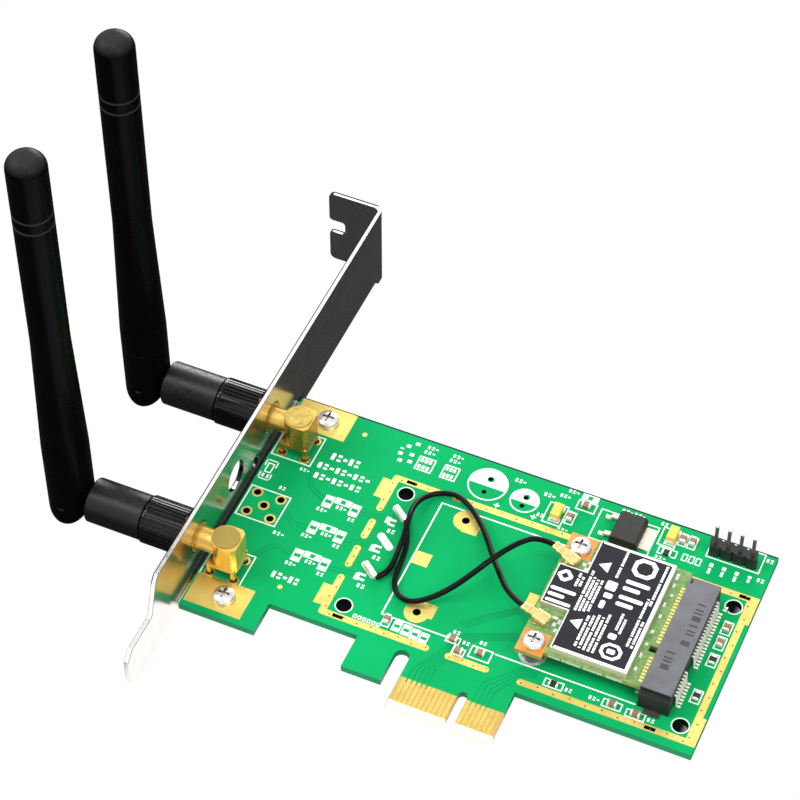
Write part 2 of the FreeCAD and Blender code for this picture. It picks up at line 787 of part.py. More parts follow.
for name, y in JACKS.items():
    bracket_cuts.append(round_bar("jack_opening_" + name, "x", wall_x, "0 - " + y, "axis_height",
                                  "jack_hole", wall))
ears = []
for name, y in (("far", "screw_far"), ("near", "screw_near")):
    bracket_cuts.append(box("ear_window_" + name, wall_x, "0 - %s - ear_width / 2" % y, "%s - 1" % plate_low,
                            wall, "ear_width", "1 - board_thick - sheet - %s" % plate_low))
    blank = box("ear_blank_" + name, inner, "0 - %s - ear_width / 2" % y, "0 - board_thick - sheet",
                "ear_length + bracket_gap", "ear_width", "sheet")
    ears.append(cut("ear_" + name + "_cut", blank, [
        round_bar("ear_thread_" + name, "z", "screw_x", "0 - " + y, "0 - board_thick - sheet - 1",
                  "ear_thread", "sheet + 2")]))
trimmed = cut("bracket_trimmed", pressed, bracket_cuts)
node("bracket", fuse("bracket_whole", [trimmed] + ears))

node("bracket_screws", group("bracket_screws_all", [
    screw("bracket_screw_" + name, "screw_x", "0 - " + y, "copper",
          "screw_head", "screw_head_tall", "screw_shank", "screw_length")
    for name, y in (("far", "screw_far"), ("near", "screw_near"))]))

# Aerial jacks: a gold block, round towards the bracket, on a square plate with four legs, a threaded
# barrel through the bracket, a pressed lid, an insulating core and a contact that turns down to the board.
lids = []
cores = []
pins = []
for name in ("far", "near"):
    y = "0 - " + JACKS[name]
    block = pad("jack_block_" + name, "XY_Plane", [
        ("0", "0 - block_width / 2"),
        ("block_length - block_chamfer", "0 - block_width / 2"),
        ("block_length", "block_chamfer - block_width / 2"),
        ("block_length", "block_width / 2 - block_chamfer"),
        ("block_length - block_chamfer", "block_width / 2"),
        ("0", "block_width / 2"),
    ], "block_top - block_low")
    side = size("block_width") / 2
    rounded(block, "block_round", lambda edge: upright(edge, "z", [(0, side), (0, 0 - side)]))
    place(block, "block_start", y, "block_low")
    solids = [
        block,
        box("jack_plate_" + name, "jack_x - leg_pitch / 2 - leg_width / 2 - 0.05",
            "%s - block_width / 2" % y,
            "block_low", "leg_pitch + leg_width + 0.1", "block_width", "block_base"),
        round_bar("jack_barrel_" + name, "x", "0 - thread_end", y, "axis_height", "thread_radius",
                  "thread_end + block_start - neck_length"),
        round_bar("jack_neck_" + name, "x", "block_start - neck_length - 0.5", y, "axis_height",
                  "neck_radius", "neck_length + 1.7"),
    ]
    for i, (across, along) in enumerate(((1, 1), (1, -1), (-1, 1), (-1, -1))):
        solids.append(box("jack_leg_%s_%d" % (name, i),
                          "jack_x + %d * leg_pitch / 2 - leg_width / 2" % across,
                          "%s + %d * leg_pitch / 2 - leg_width / 2" % (y, along),
                          "0 - board_thick - leg_reach", "leg_width", "leg_width",
                          "block_low + board_thick + leg_reach + 0.5"))
    shell = cut("jack_shell_%s_cut" % name, fuse("jack_shell_%s_blank" % name, solids), [
        round_bar("jack_mouth_" + name, "x", "0 - thread_end - 1", y, "axis_height",
                  "jack_bore", "jack_bore_depth + 1"),
        round_bar("jack_core_hole_" + name, "x", "0 - thread_end", y, "axis_height", "core_radius",
                  "thread_end + core_end"),
        round_bar("jack_pin_hole_" + name, "x", "0", y, "axis_height", "tail_hole", "jack_x + tail_hole"),
        round_bar("jack_tail_hole_" + name, "z", "jack_x", y, "block_low - 1", "tail_hole",
                  "axis_height - block_low + 1"),
        round_bar("jack_lid_seat_" + name, "z", "jack_x + 0.25", y, "block_top - lid_seat",
                  "lid_radius", "lid_seat + 1"),
    ])
    node("jack_shell_" + name, shell)
    lids.append(round_bar("jack_lid_" + name, "z", "jack_x + 0.25", y, "block_top - lid_seat",
                          "lid_radius", "lid_tall"))
    cores.append(cut("jack_core_" + name, round_bar("jack_core_blank_" + name, "x",
                                                    "jack_bore_depth - thread_end", y, "axis_height",
                                                    "core_radius",
                                                    "thread_end + core_end - jack_bore_depth"),
                     [round_bar("jack_core_bore_" + name, "x", "0 - thread_end", y, "axis_height",
                                "core_pin", "2 * thread_end")]))
    pins.append(fuse("jack_pin_" + name, [
        round_bar("jack_pin_bar_" + name, "x", "0 - core_pin_start", y, "axis_height", "core_pin",
                  "core_pin_start + jack_x + tail_width / 2"),
        box("jack_pin_tail_" + name, "jack_x - tail_width / 2", "%s - tail_width / 2" % y,
            "0 - board_thick - leg_reach", "tail_width", "tail_width",
            "axis_height + board_thick + leg_reach"),
    ]))
node("jack_lids", group("jack_lids_all", lids))
node("jack_insulators", group("jack_insulators_all", cores))
node("jack_contacts", group("jack_contacts_all", pins))

# Swivel aerials: the knurled nut holds the plug sleeve on the jack, the barrel turns on the sleeve,
# and the rod's fork folds about a pin through the barrel's tongue.
inserts = []
plug_cores = []
plug_pins = []
for name in ("far", "near"):
    y = "0 - " + JACKS[name]

    def at_hinge(obj, x="0", z="0"):
        return place(obj, "%s - hinge_x" % x, y, "axis_height + %s" % z)

    def hinge_bar(title, axis, x, z, radius, length, back="0"):
        obj = round_bar(title + "_" + name, axis, "0", "0", "0", radius, length)
        return place(obj, "%s - hinge_x" % x, "%s - %s" % (y, back), "axis_height + %s" % z)

    def hinge_box(title, x, z, length, width, height):
        obj = box(title + "_" + name, "0", "0", "0", length, width, height)
        return place(obj, "%s - hinge_x" % x, "%s - (%s) / 2" % (y, width), "axis_height + %s" % z)

    sheath = turned("aerial_sheath_blank_" + name, [
        ("spigot_radius + spigot_play", "seam"),
        ("rod_radius", "seam"),
        ("rod_radius", "flare_start"),
        ("tip_radius", "flare_end"),
        ("tip_radius", "ring_low"),
        ("tip_radius - ring_depth", "ring_low"),
        ("tip_radius - ring_depth", "ring_low + ring_width"),
        ("tip_radius", "ring_low + ring_width"),
        ("tip_radius", "ring_high"),
        ("tip_radius - ring_depth", "ring_high"),
        ("tip_radius - ring_depth", "ring_high + ring_width"),
        ("tip_radius", "ring_high + ring_width"),
        ("tip_radius", "rod_top"),
        ("0", "rod_top"),
        ("0", "rod_top - tip_wall"),
        ("spigot_radius + spigot_play", "rod_top - tip_wall"),
    ], "z")
    rounded(sheath, "dome", lambda edge: ring_at(edge, "z", size("rod_top"), size("tip_radius")))
    node("aerial_sheath_" + name, at_hinge(sheath))

    fork = at_hinge(turned("aerial_fork_blank_" + name, [
        ("0", "0 - rod_radius"),
        ("rod_radius", "0 - rod_radius"),
        ("rod_radius", "seam"),
        ("spigot_radius", "seam"),
        ("spigot_radius", "seam + spigot_length"),
        ("0", "seam + spigot_length"),
    ], "z"))
    wide = "2 * rod_radius + 2"
    slot = "tongue_thick + 2 * fork_gap"
    swing = "(tongue_half + fork_gap)"
    heel = cut("aerial_heel_" + name, hinge_box("heel_box", "(0 - rod_radius - 1)", "(0 - rod_radius - 1)",
                                                wide, wide, "rod_radius + 1"),
               [hinge_bar("heel_round", "y", "0", "0", "rod_radius", "2 * rod_radius + 4",
                          "rod_radius - 2")])
    node("aerial_fork_" + name, cut("aerial_fork_cut_" + name, fork, [
        heel,
        hinge_box("fork_side", "0", "(0 - rod_radius - 1)", "rod_radius + 1", slot,
                  "rod_radius + 1 + " + swing),
        hinge_box("fork_foot", "(0 - %s)" % swing, "(0 - rod_radius - 1)", "rod_radius + 1 + " + swing, slot,
                  "rod_radius + 1"),
        hinge_bar("fork_swing", "y", "0", "0", swing, slot, "(%s) / 2" % slot),
        hinge_bar("fork_pin_hole", "y", "0", "0", "pin_radius", "2 * rod_radius + 2", "rod_radius - 1"),
    ]))
    node("hinge_pin_" + name, hinge_bar("hinge_pin_bar", "y", "0", "0", "pin_radius", "2 * rod_radius - 0.8",
                                        "rod_radius + 0.4"))
    node("aerial_element_" + name, fuse("aerial_element_fuse_" + name, [
        hinge_bar("element_choke", "z", "0", "(seam + spigot_length)", "choke_radius", "choke_length"),
        hinge_bar("element_wire", "z", "0", "(seam + spigot_length)", "wire_radius",
                  "wire_end - seam - spigot_length"),
    ]))

    barrel = turned("aerial_barrel_blank_" + name, [
        ("base_start", "0"),
        ("base_start", "base_radius"),
        ("base_end", "base_radius"),
        ("base_end", "journal + journal_play"),
        ("cavity_end", "journal + journal_play"),
        ("cavity_end", "collar_radius + collar_gap"),
        ("cavity_start", "collar_radius + collar_gap"),
        ("cavity_start", "0"),
    ], "x")
    rounded(barrel, "base_round", lambda edge: ring_at(edge, "x", size("base_start"), size("base_radius")))
    solid = fuse("aerial_barrel_fuse_" + name, [
        at_hinge(barrel),
        hinge_box("tongue_bar", "0", "(0 - tongue_half)",
                  "base_start + base_round", "tongue_thick", "2 * tongue_half"),
        hinge_bar("tongue_round", "y", "0", "0", "tongue_half", "tongue_thick", "tongue_thick / 2"),
    ])
    node("aerial_barrel_" + name, cut("aerial_barrel_cut_" + name, solid, [
        hinge_bar("tongue_hole", "y", "0", "0", "pin_radius + pin_play", "2 * rod_radius", "rod_radius")]))

    node("plug_sleeve_" + name, at_hinge(turned("plug_sleeve_blank_" + name, [
        ("cavity_start + collar_play", "0"),
        ("cavity_start + collar_play", "collar_radius"),
        ("cavity_end - collar_play", "collar_radius"),
        ("cavity_end - collar_play", "journal"),
        ("nut_start + nut_floor", "journal"),
        ("nut_start + nut_floor", "collar_radius"),
        ("nut_start + nut_floor + flange_thick", "collar_radius"),
        ("nut_start + nut_floor + flange_thick", "nose_radius"),
        ("nose_end", "nose_radius"),
        ("nose_end", "plug_core"),
        ("nut_start + nut_floor + 0.4", "plug_core"),
        ("nut_start + nut_floor + 0.4", "0"),
    ], "x")))

    ridges = [
        hinge_bar("nut_floor_hole", "x", "(nut_start - 1)", "0", "journal + journal_play", "nut_floor + 2"),
        hinge_bar("nut_bore", "x", "(nut_start + nut_floor)", "0", "insert_radius", "nut_end - nut_start"),
    ]
    count = int(size("ridge_count"))
    for i in range(count):
        angle = 360.0 * i / count
        ridge = doc.addObject("Part::Box", "nut_ridge_%s_%d" % (name, i))
        ridge.setExpression("Length", ex("nut_end - nut_start"))
        ridge.setExpression("Width", ex("ridge_gap"))
        ridge.setExpression("Height", ex("2 * ridge_depth"))
        ridge.Placement = FreeCAD.Placement(FreeCAD.Vector(),
                                            FreeCAD.Rotation(FreeCAD.Vector(1, 0, 0), angle))
        lift = "(nut_radius - ridge_depth)"
        turn = math.radians(angle)
        across = "(%.6f * %s + %.6f * ridge_gap / 2)" % (-math.sin(turn), lift, -math.cos(turn))
        up = "(%.6f * %s + %.6f * ridge_gap / 2)" % (math.cos(turn), lift, -math.sin(turn))
        place(ridge, "nut_start + 0.5 - hinge_x", "%s + %s" % (y, across), "axis_height + %s" % up)
        ridges.append(ridge)
    node("coupling_nut_" + name, cut("coupling_nut_cut_" + name, hinge_bar(
        "nut_blank", "x", "nut_start", "0", "nut_radius", "nut_end - nut_start"), ridges))
    inserts.append(cut("nut_insert_" + name,
                       hinge_bar("insert_blank", "x", "insert_start", "0", "insert_radius",
                                                       "nut_end - insert_start - 0.3"),
                       [hinge_bar("insert_bore", "x", "nut_start", "0", "thread_radius + thread_play",
                                  "nut_end - nut_start + 1")]))
    plug_cores.append(cut("plug_core_" + name,
                          hinge_bar("plug_core_blank", "x", "(nut_start + nut_floor + 0.4)", "0",
                                                         "plug_core",
                                                         "nose_end - nut_start - nut_floor - 0.4"),
                          [hinge_bar("plug_core_bore", "x", "nut_start", "0", "plug_pin",
                                     "nut_end - nut_start")]))
    plug_pins.append(hinge_bar("plug_pin", "x", "(nut_start + nut_floor + 0.4)", "0", "plug_pin",
                               "plug_pin_end - nut_start - nut_floor - 0.4"))
node("nut_inserts", group("nut_inserts_all", inserts))
node("plug_insulators", group("plug_insulators_all", plug_cores))
node("plug_contacts", group("plug_contacts_all", plug_pins))

# Radio card: a half-length board in its socket, screwed to two spacers.
card_top = "(card_low + card_thick)"
half = "card_width / 2"
neck = "(card_width / 2 - card_inset)"
card = pad("card_blank", "XY_Plane", [
    ("0", "0 - " + half),
    ("card_pad", "0 - " + half),
    ("card_pad", "0 - " + neck),
    ("card_length", "0 - " + neck),
    ("card_length", neck),
    ("card_length - card_shoulder", neck),
    ("card_length - card_shoulder", half),
    ("0", half),
], "card_thick")
place(card, "card_left", "0 - card_middle", "card_low")
key_y = "0 - contact_first - 17 * contact_pitch - contact_skip / 2"
node("card_board", cut("card_board_cut", card, [
    box("card_key_cut", "card_left + card_length - card_key_depth", "%s - card_key / 2" % key_y,
        "card_low - 1", "card_key_depth + 1", "card_key", "card_thick + 2"),
] + [round_bar("card_hole_" + name, "z", "card_left + card_hole_x", y, "card_low - 1", "card_hole",
               "card_thick + 2")
     for name, y in CARD_HOLES.items()]))
last = "0 - contact_first - 17 * contact_pitch"
BANKS = (("wide", last, 18), ("narrow", last + " - contact_skip - 7 * contact_pitch", 8))
fingers = []
for face, z in (("top", card_top), ("under", "card_low - copper")):
    for bank, start, count in BANKS:
        finger = pad("card_finger_%s_%s" % (face, bank), "XY_Plane", [
            ("0 - card_finger_length", "0 - card_finger / 2"),
            ("0", "0 - card_finger / 2"),
            ("0", "card_finger / 2"),
            ("0 - card_finger_length", "card_finger / 2"),
        ], "copper")
        row(finger, "Y_Axis", "contact_pitch", count)
        fingers.append(place(finger, "card_left + card_length - 0.3", start, z))
node("card_contacts", group("card_contacts_all", fingers))
copper_pads = []
for name, y in CARD_HOLES.items():
    edge = "0 - card_middle + card_width / 2 - card_pad"
    if name == "near":
        edge = "0 - card_middle - card_width / 2"
    copper_pads.append(cut("card_pad_" + name, box("card_pad_blank_" + name, "card_left", edge, card_top,
                                                   "card_pad", "card_pad", "copper"),
                           [round_bar("card_pad_hole_" + name, "z", "card_left + card_hole_x", y, "card_low",
                                      "card_hole", "2 * card_thick")]))
node("card_screw_pads", group("card_screw_pads_all", copper_pads))
node("card_screws", group("card_screws_all", [
    screw("card_screw_" + name, "card_left + card_hole_x", y, "card_low + card_thick + copper",
          "card_screw_head", "card_screw_tall", "card_screw_shank", "card_screw_length")
    for name, y in CARD_HOLES.items()]))
spacers = []
for name, y in CARD_HOLES.items():
    x = "card_left + card_hole_x"
    spacers.append(cut("spacer_cut_" + name, fuse("spacer_fuse_" + name, [
        round_bar("spacer_body_" + name, "z", x, y, "0", "spacer_radius", "card_low"),
        round_bar("spacer_spigot_" + name, "z", x, y, "0 - board_thick", "spacer_spigot",
                  "board_thick + 0.5"),
    ]), [round_bar("spacer_bore_" + name, "z", x, y, "0 - board_thick + 0.5",
                   "spacer_bore", "card_low + board_thick")]))
node("card_spacers", group("card_spacers_all", spacers))


def can_block(name, inset, z, tall):
    return fuse(name, [
        box(name + "_main", "can_left + %s" % inset, "0 - can_middle - can_width / 2 + %s" % inset, z,
            "can_length - 2 * %s" % inset, "can_width - 2 * %s" % inset, tall),
        box(name + "_nose", "can_nose_left + %s" % inset,
            "0 - can_nose_middle - can_nose_width / 2 + %s" % inset, z,
            "can_left - can_nose_left + 0.5", "can_nose_width - 2 * %s" % inset, tall),
    ])


node("card_shield", cut("card_shield_cut", can_block("can_outer", "0", card_top, "can_tall"),
                        [can_block("can_inner", "can_wall", "%s - 1" % card_top,
                                   "can_tall + 1 - can_wall")]))
node("card_label", can_block("label_sheet", "label_edge", "%s + can_tall" % card_top, "label_thick"))
node("radio_chip", box("radio_chip_box", "can_left + can_length / 2 - chip_width / 2",
                       "0 - can_middle - chip_width / 2", card_top, "chip_width", "chip_width", "chip_tall"))

# Aerial leads: miniature plugs on the card's two receptacles, thin cables and their soldered ends.
COAX = {"far": "(0 - coax_far)", "near": "(0 - coax_near)"}
receptacles = []
for name, y in COAX.items():
    receptacles.append(fuse("coax_" + name, [
        box("coax_base_" + name, "coax_x - coax_base / 2", "%s - coax_base / 2" % y, card_top,
            "coax_base", "coax_base", "coax_base_tall"),
        round_bar("coax_ring_" + name, "z", "coax_x", y, "%s + coax_base_tall" % card_top, "coax_ring",
                  "coax_ring_tall"),
    ]))
    seat = "(%s + coax_base_tall + plug_gap)" % card_top
    tail = doc.addObject("Part::Box", "plug_tail_" + name)
    tail.setExpression("Length", ex("plug_reach - plug_head / 2"))
    tail.setExpression("Width", ex("plug_width"))
    tail.setExpression("Height", ex("plug_tall"))
    turn = "plug_turn_" + name
    tail.Placement = FreeCAD.Placement(FreeCAD.Vector(),
                                       FreeCAD.Rotation(FreeCAD.Vector(0, 0, 1), size(turn)))
    aim = (math.cos(math.radians(size(turn))), math.sin(math.radians(size(turn))))
    place(tail, "coax_x + plug_head / 2 * %.6f + plug_width / 2 * %.6f" % (aim[0], aim[1]),
          "%s + plug_head / 2 * %.6f - plug_width / 2 * %.6f" % (y, aim[1], aim[0]), seat)
    head = round_bar("plug_head_" + name, "z", "coax_x", y, seat, "plug_head", "plug_head_tall")
    node("lead_plug_" + name, cut("lead_plug_cut_" + name, fuse("lead_plug_fuse_" + name, [head, tail]), [
        round_bar("plug_socket_" + name, "z", "coax_x", y, "%s - 1" % seat, "coax_ring + plug_gap",
                  "coax_ring_tall + 1")]))
node("card_receptacles", group("card_receptacles_all", receptacles))

ROUTES = {
    "near": [(32.4, -36.3, 0.7), (33.7, -34.8, 0.7), (34.2, -32.5, 0.9), (34.1, -29.6, 1.8),
             (34.0, -26.3, 2.9),
             (33.2, -22.2, 3.1), (32.5, -18.6, 2.2), (33.0, -15.2, 1.3), (35.2, -12.5, 0.9),
             (38.4, -11.3, 0.8),
             (41.6, -12.5, 0.9), (44.8, -15.2, 1.2), (48.2, -19.0, 1.7), (51.4, -23.5, 2.3),
             (54.9, -28.1, 3.3), (58.4, -32.2, 4.3), (61.81, -33.9, 4.9)],
    "far": [(32.2, -21.3, 0.7), (33.4, -23.4, 0.7), (34.6, -26.4, 0.7), (35.3, -29.9, 0.7),
            (35.6, -33.4, 0.7),
            (36.2, -36.4, 0.7), (37.9, -38.5, 0.7), (40.7, -39.1, 0.7), (43.6, -37.6, 1.1),
            (46.9, -34.3, 2.1),
            (49.6, -30.9, 3.7), (51.9, -27.5, 5.2), (53.9, -23.9, 5.6), (56.0, -20.5, 5.5),
            (58.5, -17.9, 5.25), (62.05, -18.07, 4.9)],
}
zero = FreeCAD.Vector(size("tongue_left") + (size("bank_long") + size("key_gap") + size("bank_short")) / 2,
                      -size("tongue_reach"), -size("board_thick") / 2)


def cable(name, spots):
    points = [FreeCAD.Vector(*spot) - zero for spot in spots]
    edges = []
    radii = []
    start = points[0]
    for before, corner, after in zip(points, points[1:], points[2:]):
        into = corner - before
        away = after - corner
        angle = into.getAngle(away)
        reach = 0.45 * min(into.Length, away.Length)
        radii.append(reach / math.tan(angle / 2))
        into.normalize()
        away.normalize()
        enter = corner - into * reach
        leave = corner + away * reach
        half_way = (enter + leave) * 0.5
        inside = (half_way - corner).normalize()
        depth = (half_way - corner).Length
        sag = radii[-1] / math.cos(angle / 2) - radii[-1]
        middle = corner + inside * sag
        edges.append(Part.LineSegment(start, enter).toShape())
        bend = Part.Arc(enter, middle, leave) if depth > 1e-6 else Part.LineSegment(enter, leave)
        edges.append(bend.toShape())
        start = leave
    edges.append(Part.LineSegment(start, points[-1]).toShape())
    path = Part.Wire(edges)
    round_end = Part.Wire(Part.makeCircle(size("lead_diameter") / 2, points[0], points[1] - points[0]))
    solid = path.makePipeShell([round_end], True, False)
    obj = doc.addObject("Part::Feature", name + "_tube")
    obj.Shape = solid
    section = math.pi * size("lead_diameter") ** 2 / 4
    print(name, "length", round(path.Length, 2), "smallest radius", round(min(radii), 2),
          "volume over section", round(solid.Volume / (section * path.Length), 4))
    return node(name, obj)


ends = []
for name, spots in ROUTES.items():
    cable("aerial_lead_" + name, spots)
    first = spots[0]
    aim = size("solder_pad_turn")
    braid = doc.addObject("Part::Cylinder", "braid_" + name)
    braid.setExpression("Radius", ex("braid_radius"))
    braid.setExpression("Height", ex("braid_length"))
    braid.Placement = FreeCAD.Placement(FreeCAD.Vector(), FreeCAD.Rotation(FreeCAD.Vector(0, 0, 1), aim)
                                        .multiply(TURN["x"]))
    place(braid, first[0], first[1], "braid_radius + copper + 0.01")
    ends.append(braid)
node("lead_ends", group("lead_ends_all", ends))

# Card socket: a moulded housing with two rows of gull-wing contacts and two solder anchors.
near_end = "(0 - socket_middle - socket_width / 2)"
node("socket_housing", cut("socket_housing_cut", box("socket_block", "socket_left", near_end, "0",
                                                     "socket_length", "socket_width", "socket_tall"), [
    box("socket_mouth", "socket_left - 1", "0 - card_middle - %s - mouth_gap" % neck, "card_low - mouth_gap",
        "mouth_depth + 1", "2 * %s + 2 * mouth_gap" % neck, "card_thick + 2 * mouth_gap"),
    box("socket_end_step", "socket_left - 1", "%s - 1" % near_end, "socket_tall - socket_step_drop",
        "socket_length + 2", "socket_step + 1", "socket_step_drop + 1"),
]))
leads = []
for side, x, way, rise in (("right", "socket_left + socket_length", "", "lead_rise"),
                           ("left", "socket_left", "0 - ", "lead_rise_under")):
    for bank, start, count in BANKS:
        lead = pad("socket_lead_%s_%s" % (side, bank), "XZ_Plane", [
            ("0", rise),
            (way + "0.35", rise),
            (way + "0.5", "0"),
            (way + "lead_reach", "0"),
            (way + "lead_reach", "lead_thick"),
            (way + "0.62", "lead_thick"),
            (way + "0.47", rise + " + lead_thick"),
            ("0", rise + " + lead_thick"),
        ], "lead_width", True)
        row(lead, "Y_Axis", "contact_pitch", count)
        leads.append(place(lead, x, start, "0"))
node("socket_contacts", group("socket_contacts_all", leads))
node("socket_anchors", group("socket_anchors_all", [
    box("anchor_near", "socket_left + socket_length / 2 - anchor_length / 2",
        "%s - anchor_reach" % near_end, "0", "anchor_length", "anchor_reach", "anchor_thick"),
    box("anchor_far", "socket_left + socket_length / 2 - anchor_length / 2", "socket_width + %s" % near_end,
        "0", "anchor_length", "anchor_reach", "anchor_thick"),
]))

# Pin header: a scalloped base with four square pins.
outline = []
for side in (-1, 1):
    for i in (range(4) if side < 0 else range(3, -1, -1)):
        left = "%d * header_pitch" % i
        right = "%d * header_pitch" % (i + 1)
        edge = "%d * header_pitch / 2" % side
        waist = "%d * (header_pitch / 2 - header_chamfer)" % side
        notch = [(left + " + header_chamfer", edge), (right + " - header_chamfer", edge), (right, waist)]
        back = [(right + " - header_chamfer", edge), (left + " + header_chamfer", edge), (left, waist)]
        outline.extend(notch if side < 0 else back)
base = pad("header_block", "XY_Plane", outline, "header_tall")
place(base, "header_x - header_pitch / 2", "0 - header_y", "0")
node("header_base", cut("header_base_cut", base, [
    box("header_slot_%d" % i, "header_x + %d * header_pitch - header_pin / 2" % i,
        "0 - header_y - header_pin / 2",
        "0 - 1", "header_pin", "header_pin", "header_tall + 2") for i in range(4)]))
node("header_pins", group("header_pins_all", [
    box("header_pin_%d" % i, "header_x + %d * header_pitch - header_pin / 2" % i,
        "0 - header_y - header_pin / 2", "0 - board_thick - header_pin_low", "header_pin", "header_pin",
        "header_pin_top + board_thick + header_pin_low") for i in range(4)]))

# Voltage regulator: moulded body, soldered tab and two formed leads.
reg = pad("reg_block", "XZ_Plane", [
    ("0", "0.1"),
    ("reg_length", "0.1"),
    ("reg_length", "reg_tall * 0.6"),
    ("reg_length - 0.4", "reg_tall"),
    ("0.4", "reg_tall"),
    ("0", "reg_tall * 0.6"),
], "reg_width", True)
node("regulator_body", place(reg, "reg_left", "0 - reg_middle", "0"))
metal = [box("reg_tab_plate", "reg_left + reg_length", "0 - reg_middle - reg_tab_width / 2", "0",
             "reg_tab", "reg_tab_width", "reg_metal")]
for i, side in enumerate((1, -1)):
    lead = pad("reg_lead_%d" % i, "XZ_Plane", [
        ("0", "0.8"),
        ("0 - 1.0", "0.8"),
        ("0 - 1.4", "0"),
        ("0 - reg_lead_reach", "0"),
        ("0 - reg_lead_reach", "reg_metal"),
        ("0 - 1.7", "reg_metal"),
        ("0 - 1.3", "0.8 + reg_metal"),
        ("0", "0.8 + reg_metal"),
    ], "reg_lead_width", True)
    metal.append(place(lead, "reg_left", "0 - reg_middle + %d * reg_lead_pitch / 2" % side, "0"))
node("regulator_metal", group("regulator_metal_all", metal))

# Small parts soldered on the board: distance from the far end, height, and the way each lies.
TANTALUMS = ((43.5, -7.4), (20.65, -3.6))
CAPACITORS = ((40.8, -7.2, "y"), (38.9, -3.3, "x"), (18.5, -3.4, "y"), (16.6, -3.3, "y"), (3.6, -20.0, "y"),
              (3.6, -23.8, "y"), (63.7, -44.3, "y"), (17.4, -45.2, "x"), (12.6, -45.6, "x"),
              (50.4, -43.5, "x"), (48.5, -45.6, "x"), (44.4, -44.4, "x"))
RESISTORS = ((20.4, -7.9, "x"), (3.6, -28.1, "y"), (3.6, -37.1, "y"), (29.1, -45.3, "x"))


def chip_parts(title, spots, tall):
    bodies = []
    caps = []
    for i, (margin, y, way) in enumerate(spots):
        x = "(board_length - %s)" % margin
        along = "chip_cap_length - 2 * chip_cap_end"
        sizes = (along, "chip_cap_width") if way == "x" else ("chip_cap_width", along)
        bodies.append(box("%s_body_%d" % (title, i), "%s - (%s) / 2" % (x, sizes[0]),
                          "%s - (%s) / 2" % (y, sizes[1]), "0", sizes[0], sizes[1], tall))
        sizes = ("chip_cap_end", "chip_cap_width") if way == "x" else ("chip_cap_width", "chip_cap_end")
        for sign in (1, -1):
            step = "%d * (chip_cap_length - chip_cap_end) / 2" % sign
            spot = ("%s + %s" % (x, step), str(y)) if way == "x" else (x, "%s + %s" % (y, step))
            caps.append(box("%s_end_%d_%d" % (title, i, sign + 1), "%s - (%s) / 2" % (spot[0], sizes[0]),
                            "%s - (%s) / 2" % (spot[1], sizes[1]), "0", sizes[0], sizes[1], tall))
    return group(title + "_bodies_all", bodies), group(title + "_ends_all", caps)


bodies, caps = chip_parts("capacitor", CAPACITORS, "chip_cap_tall")
node("capacitor_bodies", bodies)
node("capacitor_ends", caps)
bodies, caps = chip_parts("resistor", RESISTORS, "resistor_tall")
node("resistor_bodies", bodies)
node("resistor_ends", caps)
bodies = []
caps = []
for i, (margin, y) in enumerate(TANTALUMS):
    x = "(board_length - %s)" % margin
    bodies.append(box("tantalum_body_%d" % i, "%s - tantalum_width / 2" % x, "%s - tantalum_length / 2" % y,
                      "0.05", "tantalum_width", "tantalum_length", "tantalum_tall"))
    for sign in (1, -1):
        edge = "tantalum_length / 2" if sign > 0 else "0 - tantalum_length / 2 - 0.4"
        caps.append(box("tantalum_foot_%d_%d" % (i, sign + 1), "%s - tantalum_width * 0.4" % x,
                        "%s + %s" % (y, edge), "0", "tantalum_width * 0.8", "0.4", "tantalum_tall * 0.5"))
node("tantalum_bodies", group("tantalum_bodies_all", bodies))
node("tantalum_terminals", group("tantalum_terminals_all", caps))

doc.recompute()
bad = [o.Name for o in doc.Objects if "Invalid" in o.State or "Error" in o.State]
bad += [n for n, o in NODES.items() if o.Shape.isNull() or not o.Shape.isValid() or not o.Shape.Solids]
if bad:
    raise RuntimeError("not built: " + ", ".join(bad))
os.makedirs("parts", exist_ok=True)
for name, obj in NODES.items():
    obj.Shape.exportStep("parts/%s.step" % name)
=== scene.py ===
import json
import math

import bmesh
import bpy
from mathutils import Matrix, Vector
from mathutils.geometry import tessellate_polygon

